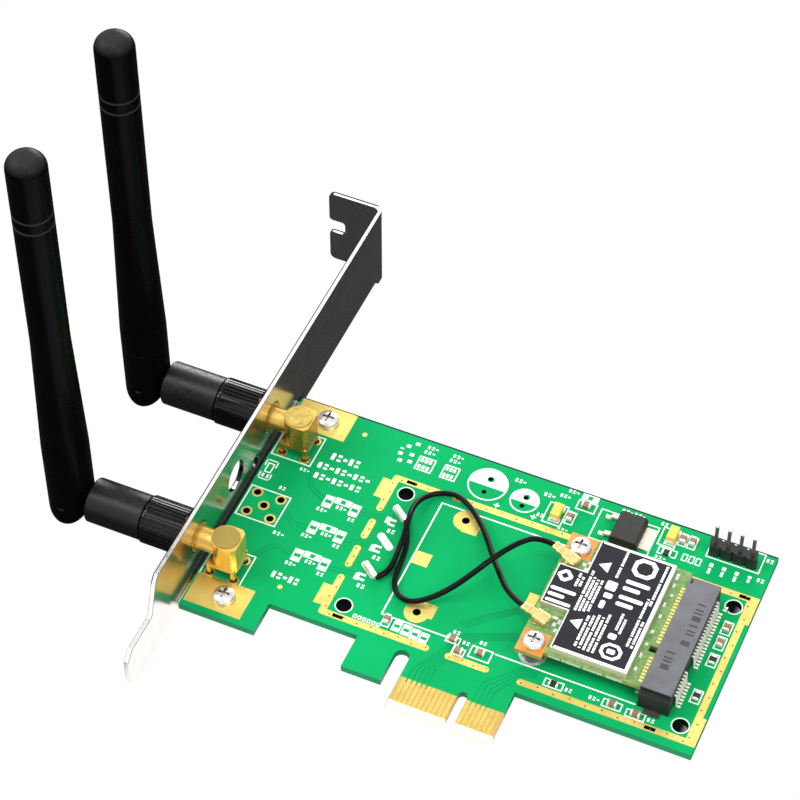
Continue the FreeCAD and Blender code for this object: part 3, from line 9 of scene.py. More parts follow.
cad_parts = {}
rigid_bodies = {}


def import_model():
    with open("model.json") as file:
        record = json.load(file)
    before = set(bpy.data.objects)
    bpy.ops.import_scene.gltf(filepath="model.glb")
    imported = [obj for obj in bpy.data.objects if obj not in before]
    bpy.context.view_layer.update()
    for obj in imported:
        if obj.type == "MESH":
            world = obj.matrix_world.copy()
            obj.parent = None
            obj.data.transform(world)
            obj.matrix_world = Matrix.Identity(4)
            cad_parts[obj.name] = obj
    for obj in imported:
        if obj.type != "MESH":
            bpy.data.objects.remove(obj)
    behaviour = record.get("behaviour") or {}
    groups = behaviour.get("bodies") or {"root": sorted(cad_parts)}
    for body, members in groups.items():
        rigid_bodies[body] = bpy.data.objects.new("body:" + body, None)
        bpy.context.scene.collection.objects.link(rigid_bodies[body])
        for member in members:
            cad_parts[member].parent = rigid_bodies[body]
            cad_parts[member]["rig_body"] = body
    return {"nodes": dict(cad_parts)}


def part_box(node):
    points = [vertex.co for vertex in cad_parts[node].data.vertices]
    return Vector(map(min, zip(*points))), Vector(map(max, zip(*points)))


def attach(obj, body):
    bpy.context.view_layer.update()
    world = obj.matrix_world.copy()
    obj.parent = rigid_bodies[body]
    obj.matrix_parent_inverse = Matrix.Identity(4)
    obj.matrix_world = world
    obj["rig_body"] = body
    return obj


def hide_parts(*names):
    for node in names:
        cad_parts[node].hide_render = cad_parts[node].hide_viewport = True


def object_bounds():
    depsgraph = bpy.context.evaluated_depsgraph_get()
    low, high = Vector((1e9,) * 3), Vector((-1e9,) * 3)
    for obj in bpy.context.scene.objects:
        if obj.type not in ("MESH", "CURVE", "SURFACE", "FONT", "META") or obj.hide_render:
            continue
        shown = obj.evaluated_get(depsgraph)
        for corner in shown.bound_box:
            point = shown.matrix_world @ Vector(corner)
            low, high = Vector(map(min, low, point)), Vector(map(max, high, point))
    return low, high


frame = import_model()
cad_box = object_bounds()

# Studio: a camera looking down across the board, wide soft panels in a bright, even room, and a pale
# floor just under the bracket's wing, shaded below the board and clear when seen from below. In
# reflections the floor is bright only in front of the card, beside the bracket.
scene = bpy.context.scene
scene.view_settings.view_transform = "Standard"
lens = bpy.data.cameras.new("camera")
lens.lens = 128.37
lens.sensor_width = 36.0
lens.clip_start = 0.01
camera = bpy.data.objects.new("camera", lens)
scene.collection.objects.link(camera)
turn, lift = math.radians(23.74), math.radians(49.73)
back = Vector((math.sin(turn) * math.cos(lift), -math.cos(turn) * math.cos(lift), math.sin(lift)))
aim = Vector((-0.03797, 0.06917, 0.0008))
distance = 0.58055
camera.location = aim + back * distance
camera.rotation_mode = "QUATERNION"
camera.rotation_quaternion = (-back).to_track_quat("-Z", "Y")
scene.camera = camera


def joined(made, way, one, other):
    """Two masks of a finish taken together, by MULTIPLY, MAXIMUM and the like."""
    both = made.node_tree.nodes.new("ShaderNodeMath")
    both.operation = way
    made.node_tree.links.new(one, both.inputs[0])
    made.node_tree.links.new(other, both.inputs[1])
    return both.outputs["Value"]


def beyond(made, axis, low, high):
    """A mask of the part of a piece that lies past a place on one axis."""
    place = made.node_tree.nodes.new("ShaderNodeTexCoord")
    split = made.node_tree.nodes.new("ShaderNodeSeparateXYZ")
    made.node_tree.links.new(place.outputs["Object"], split.inputs["Vector"])
    step = made.node_tree.nodes.new("ShaderNodeMapRange")
    step.inputs["From Min"].default_value = low
    step.inputs["From Max"].default_value = high
    made.node_tree.links.new(split.outputs[axis], step.inputs["Value"])
    return step.outputs["Result"]


room = bpy.data.worlds.new("room")
room.use_nodes = True
room_light = room.node_tree.nodes["Background"]
room_light.inputs["Color"].default_value = (1.0, 1.0, 1.0, 1.0)
room_rays = room.node_tree.nodes.new("ShaderNodeLightPath").outputs
seen_directly = joined(room, "MAXIMUM", room_rays["Is Camera Ray"], room_rays["Is Glossy Ray"])
room_level = room.node_tree.nodes.new("ShaderNodeMapRange")
room_level.inputs["To Min"].default_value = 0.75
room_level.inputs["To Max"].default_value = 1.0
room.node_tree.links.new(seen_directly, room_level.inputs["Value"])
room.node_tree.links.new(room_level.outputs["Result"], room_light.inputs["Strength"])
scene.world = room
lamp_aim = Vector((-0.03, 0.06, 0.0))
for name, place, size, watts in (
    ("panel_left", (-0.55, -0.10, 0.55), 0.5, 5.0),
    ("panel_right", (0.55, -0.25, 0.60), 0.5, 4.0),
    ("panel_rear", (-0.20, 0.95, 0.28), 0.6, 10.0),
    ("panel_top", (-0.12, -0.05, 0.95), 0.2, 1.7),
):
    panel = bpy.data.lights.new(name, "AREA")
    panel.shape = "SQUARE"
    panel.size = size
    panel.energy = watts
    lamp = bpy.data.objects.new(name, panel)
    lamp.location = place
    lamp.rotation_mode = "QUATERNION"
    lamp.rotation_quaternion = (lamp_aim - Vector(place)).to_track_quat("-Z", "Y")
    scene.collection.objects.link(lamp)

sheet = bpy.data.meshes.new("floor")
floor_height = cad_box[0].z - 0.0002
reach = 3.0
floor_corners = ((-reach, -reach), (reach, -reach), (reach, reach), (-reach, reach))
sheet.from_pydata([(x, y, floor_height) for x, y in floor_corners], [], [(0, 1, 2, 3)])
floor = bpy.data.objects.new("floor", sheet)
scene.collection.objects.link(floor)
paper = bpy.data.materials.new("pale_paper")
paper.use_nodes = True
paper_nodes, paper_links = paper.node_tree.nodes, paper.node_tree.links
paper_nodes.remove(paper_nodes["Principled BSDF"])
matt = paper_nodes.new("ShaderNodeBsdfDiffuse")
matt.inputs["Color"].default_value = (0.9, 0.9, 0.9, 1.0)
mirrored = paper_nodes.new("ShaderNodeEmission")
mirrored.inputs["Color"].default_value = (1.0, 0.985, 0.955, 1.0)
glow = paper_nodes.new("ShaderNodeMapRange")
glow.inputs["To Min"].default_value = 0.065
glow.inputs["To Max"].default_value = 1.6
bright_part = joined(
    paper, "MULTIPLY", beyond(paper, "Y", 0.0135, 0.0095), beyond(paper, "X", -0.064, -0.060)
)
paper_links.new(bright_part, glow.inputs["Value"])
paper_links.new(glow.outputs["Result"], mirrored.inputs["Strength"])
under_board = beyond(paper, "X", -0.0610, -0.0574)
for axis, low, high in (("X", 0.0442, 0.0406), ("Y", 0.0165, 0.0201), ("Y", 0.0640, 0.0604)):
    under_board = joined(paper, "MINIMUM", under_board, beyond(paper, axis, low, high))
board_shade = paper_nodes.new("ShaderNodeMapRange")
board_shade.interpolation_type = "SMOOTHSTEP"
board_shade.inputs["To Min"].default_value = 1.0
board_shade.inputs["To Max"].default_value = 0.006
paper_links.new(under_board, board_shade.inputs["Value"])
lit = paper_nodes.new("ShaderNodeEmission")
paper_links.new(board_shade.outputs["Result"], lit.inputs["Strength"])
clear = paper_nodes.new("ShaderNodeBsdfTransparent")
paper_path = paper_nodes.new("ShaderNodeLightPath")
paper_side = paper_nodes.new("ShaderNodeNewGeometry")
floor_look = matt.outputs["BSDF"]
for where, look in (
    (paper_path.outputs["Is Glossy Ray"], mirrored.outputs["Emission"]),
    (paper_path.outputs["Is Camera Ray"], lit.outputs["Emission"]),
    (paper_side.outputs["Backfacing"], clear.outputs["BSDF"]),
):
    choice = paper_nodes.new("ShaderNodeMixShader")
    paper_links.new(where, choice.inputs["Fac"])
    paper_links.new(floor_look, choice.inputs[1])
    paper_links.new(look, choice.inputs[2])
    floor_look = choice.outputs["Shader"]
paper_links.new(floor_look, paper_nodes["Material Output"].inputs["Surface"])
sheet.materials.append(paper)

# Circuit board: a green-masked glass-fibre board, routed to one outline with the contact tongue.
# The mask is glossy and lightly clouded. The routed edges show the darker laminate, the holes' walls
# and a thin band along the far edge are painted near-black as shade, and the tongue is left bare round its
# contacts.
mottle = bpy.data.node_groups.new("fine_mottle", "ShaderNodeTree")
for socket, value in (("Patch Scale", 150.0), ("Grain Scale", 3000.0)):
    entry = mottle.interface.new_socket(socket, in_out="INPUT", socket_type="NodeSocketFloat")
    entry.default_value = value
for socket in ("Patch", "Grain"):
    mottle.interface.new_socket(socket, in_out="OUTPUT", socket_type="NodeSocketFloat")
mottle_in = mottle.nodes.new("NodeGroupInput")
mottle_out = mottle.nodes.new("NodeGroupOutput")
mottle_place = mottle.nodes.new("ShaderNodeTexCoord")
for socket, detail in (("Patch", 3.0), ("Grain", 2.0)):
    cloud = mottle.nodes.new("ShaderNodeTexNoise")
    cloud.inputs["Detail"].default_value = detail
    mottle.links.new(mottle_place.outputs["Object"], cloud.inputs["Vector"])
    mottle.links.new(mottle_in.outputs[socket + " Scale"], cloud.inputs["Scale"])
    mottle.links.new(cloud.outputs["Fac"], mottle_out.inputs[socket])


def finish(
    name, light, dark, rough, metallic=0.0, specular=0.5, patch=150.0, grain=3000.0, relief=0.1, shade_reach=0.0
):
    """A surface clouded between two tones, with its own range of roughness, a fine relief and, where
    a reach is given, painted shade darkening its corners."""
    made = bpy.data.materials.new(name)
    made.use_nodes = True
    nodes, links = made.node_tree.nodes, made.node_tree.links
    shader = nodes["Principled BSDF"]
    shader.inputs["Metallic"].default_value = metallic
    shader.inputs["Specular IOR Level"].default_value = specular
    clouds = nodes.new("ShaderNodeGroup")
    clouds.node_tree = mottle
    clouds.inputs["Patch Scale"].default_value = patch
    clouds.inputs["Grain Scale"].default_value = grain
    spread = nodes.new("ShaderNodeMapRange")
    spread.inputs["From Min"].default_value = 0.3
    spread.inputs["From Max"].default_value = 0.7
    links.new(clouds.outputs["Patch"], spread.inputs["Value"])
    tone = nodes.new("ShaderNodeMix")
    tone.data_type = "RGBA"
    tone.inputs[6].default_value = (*dark, 1.0)
    tone.inputs[7].default_value = (*light, 1.0)
    links.new(spread.outputs["Result"], tone.inputs[0])
    links.new(tone.outputs[2], shader.inputs["Base Color"])
    # Painted shade: ambient occlusion darkens the base colour in corners and recesses.
    if shade_reach:
        corner = nodes.new("ShaderNodeAmbientOcclusion")
        corner.inputs["Distance"].default_value = shade_reach
        level = nodes.new("ShaderNodeMapRange")
        level.inputs["From Min"].default_value = 0.15
        level.inputs["From Max"].default_value = 0.85
        level.inputs["To Min"].default_value = 0.08
        links.new(corner.outputs["AO"], level.inputs["Value"])
        shade = nodes.new("ShaderNodeMix")
        shade.data_type = "RGBA"
        shade.blend_type = "MULTIPLY"
        shade.inputs[0].default_value = 1.0
        links.new(tone.outputs[2], shade.inputs[6])
        links.new(level.outputs["Result"], shade.inputs[7])
        links.new(shade.outputs[2], shader.inputs["Base Color"])
    gloss = nodes.new("ShaderNodeMapRange")
    gloss.inputs["From Min"].default_value = 0.3
    gloss.inputs["From Max"].default_value = 0.7
    gloss.inputs["To Min"].default_value = rough[0]
    gloss.inputs["To Max"].default_value = rough[1]
    links.new(clouds.outputs["Grain"], gloss.inputs["Value"])
    links.new(gloss.outputs["Result"], shader.inputs["Roughness"])
    relief_node = nodes.new("ShaderNodeBump")
    relief_node.inputs["Strength"].default_value = relief
    relief_node.inputs["Distance"].default_value = 0.00005
    links.new(clouds.outputs["Grain"], relief_node.inputs["Height"])
    links.new(relief_node.outputs["Normal"], shader.inputs["Normal"])
    return made


def facing(made, axis, low, high):
    """A mask of the faces that point along one axis, from the piece's own normals."""
    nodes, links = made.node_tree.nodes, made.node_tree.links
    place = nodes.new("ShaderNodeTexCoord")
    split = nodes.new("ShaderNodeSeparateXYZ")
    links.new(place.outputs["Normal"], split.inputs["Vector"])
    size = nodes.new("ShaderNodeMath")
    size.operation = "ABSOLUTE"
    links.new(split.outputs[axis], size.inputs[0])
    step = nodes.new("ShaderNodeMapRange")
    step.inputs["From Min"].default_value = low
    step.inputs["From Max"].default_value = high
    links.new(size.outputs["Value"], step.inputs["Value"])
    return step.outputs["Result"]


def lay_over(made, mask, colour):
    """Puts a second colour over a finish where a mask is one."""
    nodes, links = made.node_tree.nodes, made.node_tree.links
    base = nodes["Principled BSDF"].inputs["Base Color"]
    under = base.links[0].from_socket
    mix = nodes.new("ShaderNodeMix")
    mix.data_type = "RGBA"
    mix.inputs[7].default_value = (*colour, 1.0)
    links.new(mask, mix.inputs[0])
    links.new(under, mix.inputs[6])
    links.new(mix.outputs[2], base)


def coat_node(node, made):
    """Gives a solid of the frame its finish."""
    data = frame["nodes"][node].data
    data.materials.clear()
    data.materials.append(made)


origin_x, origin_y, origin_z = 56.35, -62.0, -0.8


def at(x, y, z=0.0):
    """A place counted in millimetres from the board's upper corner at the bracket."""
    return Vector(((x - origin_x) / 1000, (y - origin_y) / 1000, (z - origin_z) / 1000))


mask_green = finish(
    "mask_green", light=(0.003, 0.328, 0.098), dark=(0.003, 0.270, 0.077), rough=(0.24, 0.36),
    specular=0.035, patch=40.0, relief=0.03,
)
side = facing(mask_green, "Z", 0.6, 0.4)
lay_over(mask_green, side, (0.012, 0.19, 0.080))
board_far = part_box("circuit_board")[1].y
# Painted shade: a near-black band along the board's far edge.
far_rim_shade = beyond(mask_green, "Y", board_far - 0.00040, board_far - 0.00032)
lay_over(mask_green, far_rim_shade, (0.012, 0.030, 0.028))
# Painted shade: the walls of the holes inside the board are painted near-black.
hole_wall_shade = side
for axis, low, high in (
    ("X", at(1.0, 0.0).x, at(1.1, 0.0).x),
    ("X", at(101.1, 0.0).x, at(101.0, 0.0).x),
    ("Y", at(0.0, -1.0).y, at(0.0, -1.1).y),
    ("Y", at(0.0, -48.8).y, at(0.0, -48.7).y),
):
    hole_wall_shade = joined(mask_green, "MULTIPLY", hole_wall_shade, beyond(mask_green, axis, low, high))
lay_over(mask_green, hole_wall_shade, (0.004, 0.006, 0.005))
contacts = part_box("edge_contacts")
bare_tongue = joined(
    mask_green, "MULTIPLY",
    beyond(mask_green, "Y", contacts[1].y + 0.0001, contacts[1].y),
    beyond(mask_green, "X", contacts[0].x - 0.0007, contacts[0].x - 0.0006),
)
lay_over(mask_green, bare_tongue, (0.46, 0.30, 0.08))
bare_tip = joined(
    mask_green, "MULTIPLY", bare_tongue, beyond(mask_green, "Y", contacts[0].y + 0.0001, contacts[0].y)
)
lay_over(mask_green, bare_tip, (0.92, 0.82, 0.55))
coat_node("circuit_board", mask_green)

# Tracks: etched copper under the mask, seen as low ridges with a darker line of bare laminate
# round them, from the jacks to the lead pads and from the contact tongue to the card's socket.
def ribbon_tree(name, made):
    """A flat ribbon along each chain of edges, with its corners rounded."""
    tree = bpy.data.node_groups.new(name, "GeometryNodeTree")
    tree.interface.new_socket("Geometry", in_out="INPUT", socket_type="NodeSocketGeometry")
    for socket, value in (("Width", 0.0003), ("Height", 0.00001), ("Corner", 0.0015)):
        entry = tree.interface.new_socket(socket, in_out="INPUT", socket_type="NodeSocketFloat")
        entry.default_value = value
    tree.interface.new_socket("Geometry", in_out="OUTPUT", socket_type="NodeSocketGeometry")
    given = tree.nodes.new("NodeGroupInput")
    out = tree.nodes.new("NodeGroupOutput")
    line = tree.nodes.new("GeometryNodeMeshToCurve")
    soft = tree.nodes.new("GeometryNodeFilletCurve")
    up = tree.nodes.new("GeometryNodeSetCurveNormal")
    section = tree.nodes.new("GeometryNodeCurvePrimitiveQuadrilateral")
    swept = tree.nodes.new("GeometryNodeCurveToMesh")
    flat = tree.nodes.new("GeometryNodeSetShadeSmooth")
    real = tree.nodes.new("GeometryNodeRealizeInstances")
    paint = tree.nodes.new("GeometryNodeSetMaterial")
    soft.mode = "POLY"
    soft.inputs["Count"].default_value = 5
    up.mode = "Z_UP"
    swept.inputs["Fill Caps"].default_value = True
    flat.inputs["Shade Smooth"].default_value = False
    paint.inputs["Material"].default_value = made
    join = tree.links.new
    join(given.outputs["Geometry"], line.inputs["Mesh"])
    join(line.outputs["Curve"], soft.inputs["Curve"])
    join(given.outputs["Corner"], soft.inputs["Radius"])
    join(soft.outputs["Curve"], up.inputs["Curve"])
    join(up.outputs["Curve"], swept.inputs["Curve"])
    join(given.outputs["Width"], section.inputs["Width"])
    join(given.outputs["Height"], section.inputs["Height"])
    join(section.outputs["Curve"], swept.inputs["Profile Curve"])
    join(swept.outputs["Mesh"], flat.inputs["Geometry"])
    join(flat.outputs["Geometry"], real.inputs["Geometry"])
    join(real.outputs["Geometry"], paint.inputs["Geometry"])
    join(paint.outputs["Geometry"], out.inputs["Geometry"])
    return tree


def grown(name, seed, tree, sizes, body):
    """The plain mesh that a node tree makes from a seed mesh, as a piece of one body."""
    holder = bpy.data.objects.new(name + "_seed", seed)
    scene.collection.objects.link(holder)
    growth = holder.modifiers.new("growth", "NODES")
    growth.node_group = tree
    for socket in tree.interface.items_tree:
        if socket.in_out == "INPUT" and socket.name in sizes:
            growth[socket.identifier] = sizes[socket.name]
    graph = bpy.context.evaluated_depsgraph_get()
    mesh = bpy.data.meshes.new_from_object(holder.evaluated_get(graph))
    holder.modifiers.remove(growth)
    bpy.data.objects.remove(holder)
    mesh.name = name
    piece = bpy.data.objects.new(name, mesh)
    scene.collection.objects.link(piece)
    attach(piece, body)


def chains(name, routes, z):
    """A seed mesh of open chains through board places at one height."""
    points, edges = [], []
    for route in routes:
        edges += [(len(points) + i, len(points) + i + 1) for i in range(len(route) - 1)]
        points += [at(x, y, z) for x, y in route]
    seed = bpy.data.meshes.new(name)
    seed.from_pydata(points, edges, [])
    return seed


gap_green = finish(
    "laminate_under_mask", light=(0.003, 0.262, 0.080), dark=(0.003, 0.218, 0.066), rough=(0.26, 0.38),
    specular=0.035, relief=0.03,
)
aerial_tracks = [
    [(5.5, -12.6), (9.8, -16.4), (11.2, -20.6), (14.8, -22.4)],
    [(5.5, -28.8), (9.6, -28.8), (12.0, -30.2), (14.8, -30.2)],
    [(5.5, -44.0), (8.8, -40.0), (10.6, -36.6), (14.8, -37.2)],
    [(22.8, -22.8), (26.0, -22.2), (30.2, -21.0)],
    [(22.8, -29.9), (30.0, -29.0)],
    [(22.8, -37.4), (26.0, -37.0), (30.2, -36.2)],
]
signal_tracks = [
    [(47.3 + i, -55.9), (47.3 + i, -52.6 + 0.5 * i), (53.2 + 0.55 * i, -41.2 - 0.2 * i),
     (61.6, -37.4 - 0.42 * i), (66.0, -37.6 - 0.42 * i)]
    for i in range(5)
] + [
    [(60.5 + i, -55.9), (60.5 + i, -50.4 - 0.3 * i), (66.0 + 0.3 * i, -44.2 - 0.55 * i),
     (69.5, -43.4 - 0.55 * i)]
    for i in range(4)
] + [
    [(51.2 + 0.5 * i, -39.4 - 0.2 * i), (54.6 + 0.6 * i, -36.0 - 0.1 * i), (60.8, -31.0 - 0.5 * i),
     (66.0, -30.4 - 0.5 * i)]
    for i in range(4)
]
track_bend = 0.0016
gap_tree = ribbon_tree("track_ribbons", gap_green)
ridge_tree = ribbon_tree("track_ridges", mask_green)
for name, line, routes, z, tree, width, height in (
    ("aerial_track_gaps", "aerial_track_gaps_line", aerial_tracks, 0.003, gap_tree, 0.0011, 0.00001),
    ("signal_track_gaps", "signal_track_gaps_line", signal_tracks, 0.003, gap_tree, 0.00034, 0.00001),
    ("aerial_track_ridges", "aerial_ridge_line", aerial_tracks, 0.006, ridge_tree, 0.0005, 0.000014),
):
    sizes = {"Width": width, "Height": height, "Corner": track_bend}
    grown(name, chains(line, routes, z), tree, sizes, "card")

# Board print: white ink screened on the component face, as outlines of the parts, rings round the
# posts and rows of plain strokes. The spare places have bare tinned lands inside their outlines.
ink_white = finish(
    "ink_white", light=(0.90, 0.93, 0.90), dark=(0.80, 0.86, 0.81), rough=(0.5, 0.65),
    specular=0.2, patch=400.0, relief=0.05,
)
tin_bright = finish(
    "tin_bright", light=(0.86, 0.86, 0.84), dark=(0.60, 0.60, 0.58), rough=(0.24, 0.40),
    metallic=0.6, patch=900.0, relief=0.12,
)
print_form = bmesh.new()
land_form = bmesh.new()
ink_height, land_height = 0.02, 0.025


def slab(form, loops, low, high):
    """A thin closed plate with holes: the first loop is its outline, in board millimetres."""
    flat = [Vector((x, y, 0.0)) for loop in loops for x, y in loop]
    top = [form.verts.new(at(p.x, p.y, high)) for p in flat]
    base = [form.verts.new(at(p.x, p.y, low)) for p in flat]
    for a, b, c in tessellate_polygon([[Vector((x, y, 0.0)) for x, y in loop] for loop in loops]):
        if (flat[b] - flat[a]).cross(flat[c] - flat[a]).z < 0:
            b, c = c, b
        form.faces.new((top[a], top[b], top[c]))
        form.faces.new((base[a], base[c], base[b]))
    start = 0
    for number, loop in enumerate(loops):
        ring = list(range(start, start + len(loop)))
        turning = sum(
            loop[i - 1][0] * loop[i][1] - loop[i][0] * loop[i - 1][1] for i in range(len(loop))
        )
        outward = (turning > 0) == (number == 0)
        for i, j in zip(ring, ring[1:] + ring[:1]):
            if not outward:
                i, j = j, i
            form.faces.new((base[i], base[j], top[j], top[i]))
        start += len(loop)


def oblong(x0, y0, x1, y1):
    """The four corners of an oblong."""
    return [(x0, y0), (x1, y0), (x1, y1), (x0, y1)]


def round_loop(x, y, r, count=28, first=0.0, last=2 * math.pi):
    """Points round a circle, or along an arc of it."""
    whole = abs(last - first - 2 * math.pi) < 1e-6
    steps = count if whole else count - 1
    turns = [first + (last - first) * i / steps for i in range(count)]
    return [(x + r * math.cos(turn), y + r * math.sin(turn)) for turn in turns]


def block(x0, y0, x1, y1):
    """A filled oblong of ink."""
    slab(print_form, [oblong(min(x0, x1), min(y0, y1), max(x0, x1), max(y0, y1))], 0.0, ink_height)


def outline(x0, y0, x1, y1, line=0.24):
    """An oblong frame of ink."""
    x0, x1 = min(x0, x1), max(x0, x1)
    y0, y1 = min(y0, y1), max(y0, y1)
    inner = oblong(x0 + line, y0 + line, x1 - line, y1 - line)
    slab(print_form, [oblong(x0, y0, x1, y1), inner], 0.0, ink_height)


def strokes(x, y, count, high=0.9, pitch=0.85):
    """A row of plain strokes, tall and short by turns."""
    for i in range(count):
        left = x + i * pitch
        if i % 3 == 0:
            block(left, y, left + 0.55 * pitch, y + high)
        elif i % 3 == 1:
            block(left, y, left + 0.62 * pitch, y + 0.32 * high)
            block(left, y + 0.64 * high, left + 0.62 * pitch, y + high)
        else:
            block(left, y + 0.3 * high, left + 0.62 * pitch, y + 0.68 * high)


def spare_place(x, y, along, length, width):
    """An outline with two bare lands for a part that isn't fitted."""
    dx, dy = (length / 2, width / 2) if along == "x" else (width / 2, length / 2)
    outline(x - dx, y - dy, x + dx, y + dy)
    for way in (-1, 1):
        near, far = sorted((way * 0.14 * length, way * (length / 2 - 0.28)))
        if along == "x":
            land = oblong(x + near, y - dy + 0.3, x + far, y + dy - 0.3)
        else:
            land = oblong(x - dx + 0.3, y + near, x + dx - 0.3, y + far)
        slab(land_form, [land], 0.0, land_height)


for x0, y0, x1, y1 in (
    (0.3, -8.2, 9.0, -16.1), (0.3, -24.7, 9.0, -32.7), (0.3, -40.7, 9.0, -48.7),
    (1.0, -18.3, 2.45, -20.8), (37.4, -43.5, 39.2, -45.9), (50.2, -42.6, 53.1, -44.3),
    (52.3, -44.7, 54.9, -46.5), (55.5, -43.0, 59.9, -45.9), (56.2, -4.8, 60.25, -10.2),
    (60.4, -5.6, 62.2, -8.9), (61.2, -2.0, 65.2, -4.6), (66.1, -2.4, 78.4, -10.3),
    (79.0, -1.7, 82.6, -6.35), (82.7, -1.8, 84.3, -5.0), (84.5, -1.8, 86.3, -5.0),
    (79.7, -6.5, 83.6, -8.4), (88.7, -0.3, 99.7, -5.4),
):
    outline(x0, y0, x1, y1)
for x, y, count, high, pitch in (
    (7.4, -17.6, 3, 0.7, 0.75), (9.3, -34.2, 3, 0.8, 0.85), (9.5, -49.6, 2, 0.7, 0.75),
    (5.6, -23.6, 2, 0.8, 0.8), (11.8, -12.6, 5, 1.7, 1.3), (10.2, -15.5, 9, 1.4, 1.3),
    (10.6, -18.2, 8, 1.4, 1.3), (13.4, -43.8, 5, 1.5, 1.2), (47.8, -3.0, 3, 0.9, 0.85),
    (54.4, -4.0, 3, 0.9, 0.85), (51.0, -42.0, 2, 0.8, 0.8), (53.6, -43.6, 2, 0.8, 0.8),
    (56.6, -42.3, 2, 0.8, 0.8), (58.6, -1.2, 3, 0.8, 0.8), (57.4, -2.9, 3, 0.8, 0.8),
    (54.9, -9.3, 2, 0.8, 0.8), (59.9, -10.65, 3, 0.5, 0.8), (70.0, -1.6, 6, 0.8, 0.85),
    (78.2, -1.6, 2, 0.8, 0.8), (79.8, -9.6, 3, 0.7, 0.8), (99.9, -7.2, 2, 0.9, 0.8),
    (100.1, -2.0, 2, 0.9, 0.8), (75.3, -45.8, 2, 0.8, 0.8), (80.0, -45.6, 3, 0.8, 0.8),
    (91.8, -46.0, 2, 0.8, 0.8),
):
    strokes(x, y, count, high, pitch)
for x0, y0, x1, y1 in (
    (0.4, -17.5, 3.0, -17.75), (0.4, -22.45, 3.0, -22.7), (1.0, -21.2, 1.45, -22.1),
    (2.0, -21.2, 2.45, -22.1), (23.5, -4.4, 24.3, -4.1), (36.6, -13.75, 36.9, -43.45),
    (36.9, -13.75, 64.0, -14.03), (36.9, -43.17, 50.2, -43.45), (60.2, -43.17, 88.6, -43.45),
    (96.6, -15.2, 97.0, -15.8), (96.2, -16.0, 97.4, -16.35),
):
    block(x0, y0, x1, y1)
for x in (0.4, 2.75):
    block(x, -17.5, x + 0.25, -19.2)
    block(x, -21.0, x + 0.25, -22.7)
for y in (-22.6, -29.7, -37.1):
    spare_place(16.0, y, "y", 3.0, 1.9)
    spare_place(21.7, y, "y", 3.0, 1.9)
    spare_place(18.85, y + 0.95, "x", 3.4, 1.5)
    strokes(14.6, y - 2.8, 3, 0.8, 0.8)
    strokes(18.0, y - 1.0, 3, 0.8, 0.8)
    strokes(21.3, y - 2.8, 2, 0.8, 0.8)
    block(28.6, y + 0.6, 30.3, y + 1.1)
    block(29.0, y - 0.6, 30.4, y - 0.1)
    strokes(29.6, y - 2.3, 2, 0.9, 0.9)
for x0, x1 in ((28.0, 31.6), (33.5, 36.8)):
    outline(x0, -4.5, x1, -8.1)
    pitch = (x1 - x0 - 0.9) / 3
    for y in (-5.5, -7.2):
        for left in (x0 + 0.45, x0 + 0.45 + pitch, x0 + 0.45 + 2 * pitch):
            slab(land_form, [oblong(left, y - 0.45, left + pitch - 0.22, y + 0.55)], 0.0, land_height)
    strokes(x0 + 0.4, -3.6, 3, 0.8, 0.85)
    strokes(x0 + 0.6, -2.3, 3, 0.8, 0.85)
for x, y in ((26.0, -2.4), (24.5, -3.6), (25.9, -5.4), (23.6, -5.9), (24.2, -7.6), (26.2, -7.2)):
    block(x, y, x + 0.9, y + 0.75)
for x, y, r, cut, hole in (
    (43.2, -5.9, 4.1, -6.4, (43.35, -4.55)), (51.4, -6.8, 3.0, -7.3, (51.5, -5.85)),
):
    slab(print_form, [round_loop(x, y, r, 48), round_loop(x, y, r - 0.28, 48)], 0.0, ink_height)
    half = r - 0.3
    edge = math.asin((cut - y) / half)
    bow = round_loop(x, y, half, 30, edge, math.pi - edge)
    slab(print_form, [bow, round_loop(*hole, 0.75, 20)], 0.0, ink_height)
for x, y in ((46.8, -10.1), (54.5, -9.9)):
    block(x - 0.6, y - 0.14, x + 0.6, y + 0.14)
    block(x - 0.14, y + 0.16, x + 0.14, y + 0.6)
    block(x - 0.14, y - 0.6, x + 0.14, y - 0.16)
for x, y in ((40.6, -44.8), (42.6, -45.0), (44.5, -45.2), (46.4, -45.4)):
    spare_place(x, y, "y", 2.5, 1.7)
for i in range(6):
    outline(31.9 + 0.98 * i, -45.4 - 0.03 * i, 32.6 + 0.98 * i, -46.3 - 0.03 * i, 0.18)
spare_place(63.2, -1.05, "x", 3.4, 1.5)
for x in (85.2, 86.6, 88.0):
    outline(x - 0.55, -6.4, x + 0.55, -8.2, 0.2)
for x, high in ((90.2, 2.6), (92.8, 2.4), (95.4, 2.5), (98.0, 1.6)):
    block(x, -6.5, x + 0.75, -6.5 - 0.36 * high)
    block(x + 0.1, -6.7 - 0.42 * high, x + 0.65, -6.5 - high)
for y in (-20.0, -23.8, -28.1, -37.1):
    outline(97.4, y - 1.65, 99.4, y + 1.65)
for x, y in ((72.9, -45.3), (84.6, -45.2), (89.4, -45.6)):
    outline(x - 1.95, y - 0.95, x + 1.95, y + 0.95)
for x in (29.3, 97.9):
    for y in (-14.7, -44.4):
        slab(print_form, [round_loop(x, y, 1.78, 36), round_loop(x, y, 1.6, 36)], 0.0, ink_height)


def settled(name, form, made, body):
    """A finished mesh as a piece of one body."""
    mesh = bpy.data.meshes.new(name)
    form.to_mesh(mesh)
    form.free()
    mesh.materials.append(made)
    piece = bpy.data.objects.new(name, mesh)
    scene.collection.objects.link(piece)
    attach(piece, body)
    return piece


settled("board_print", print_form, ink_white, "card")
settled("spare_lands", land_form, tin_bright, "card")

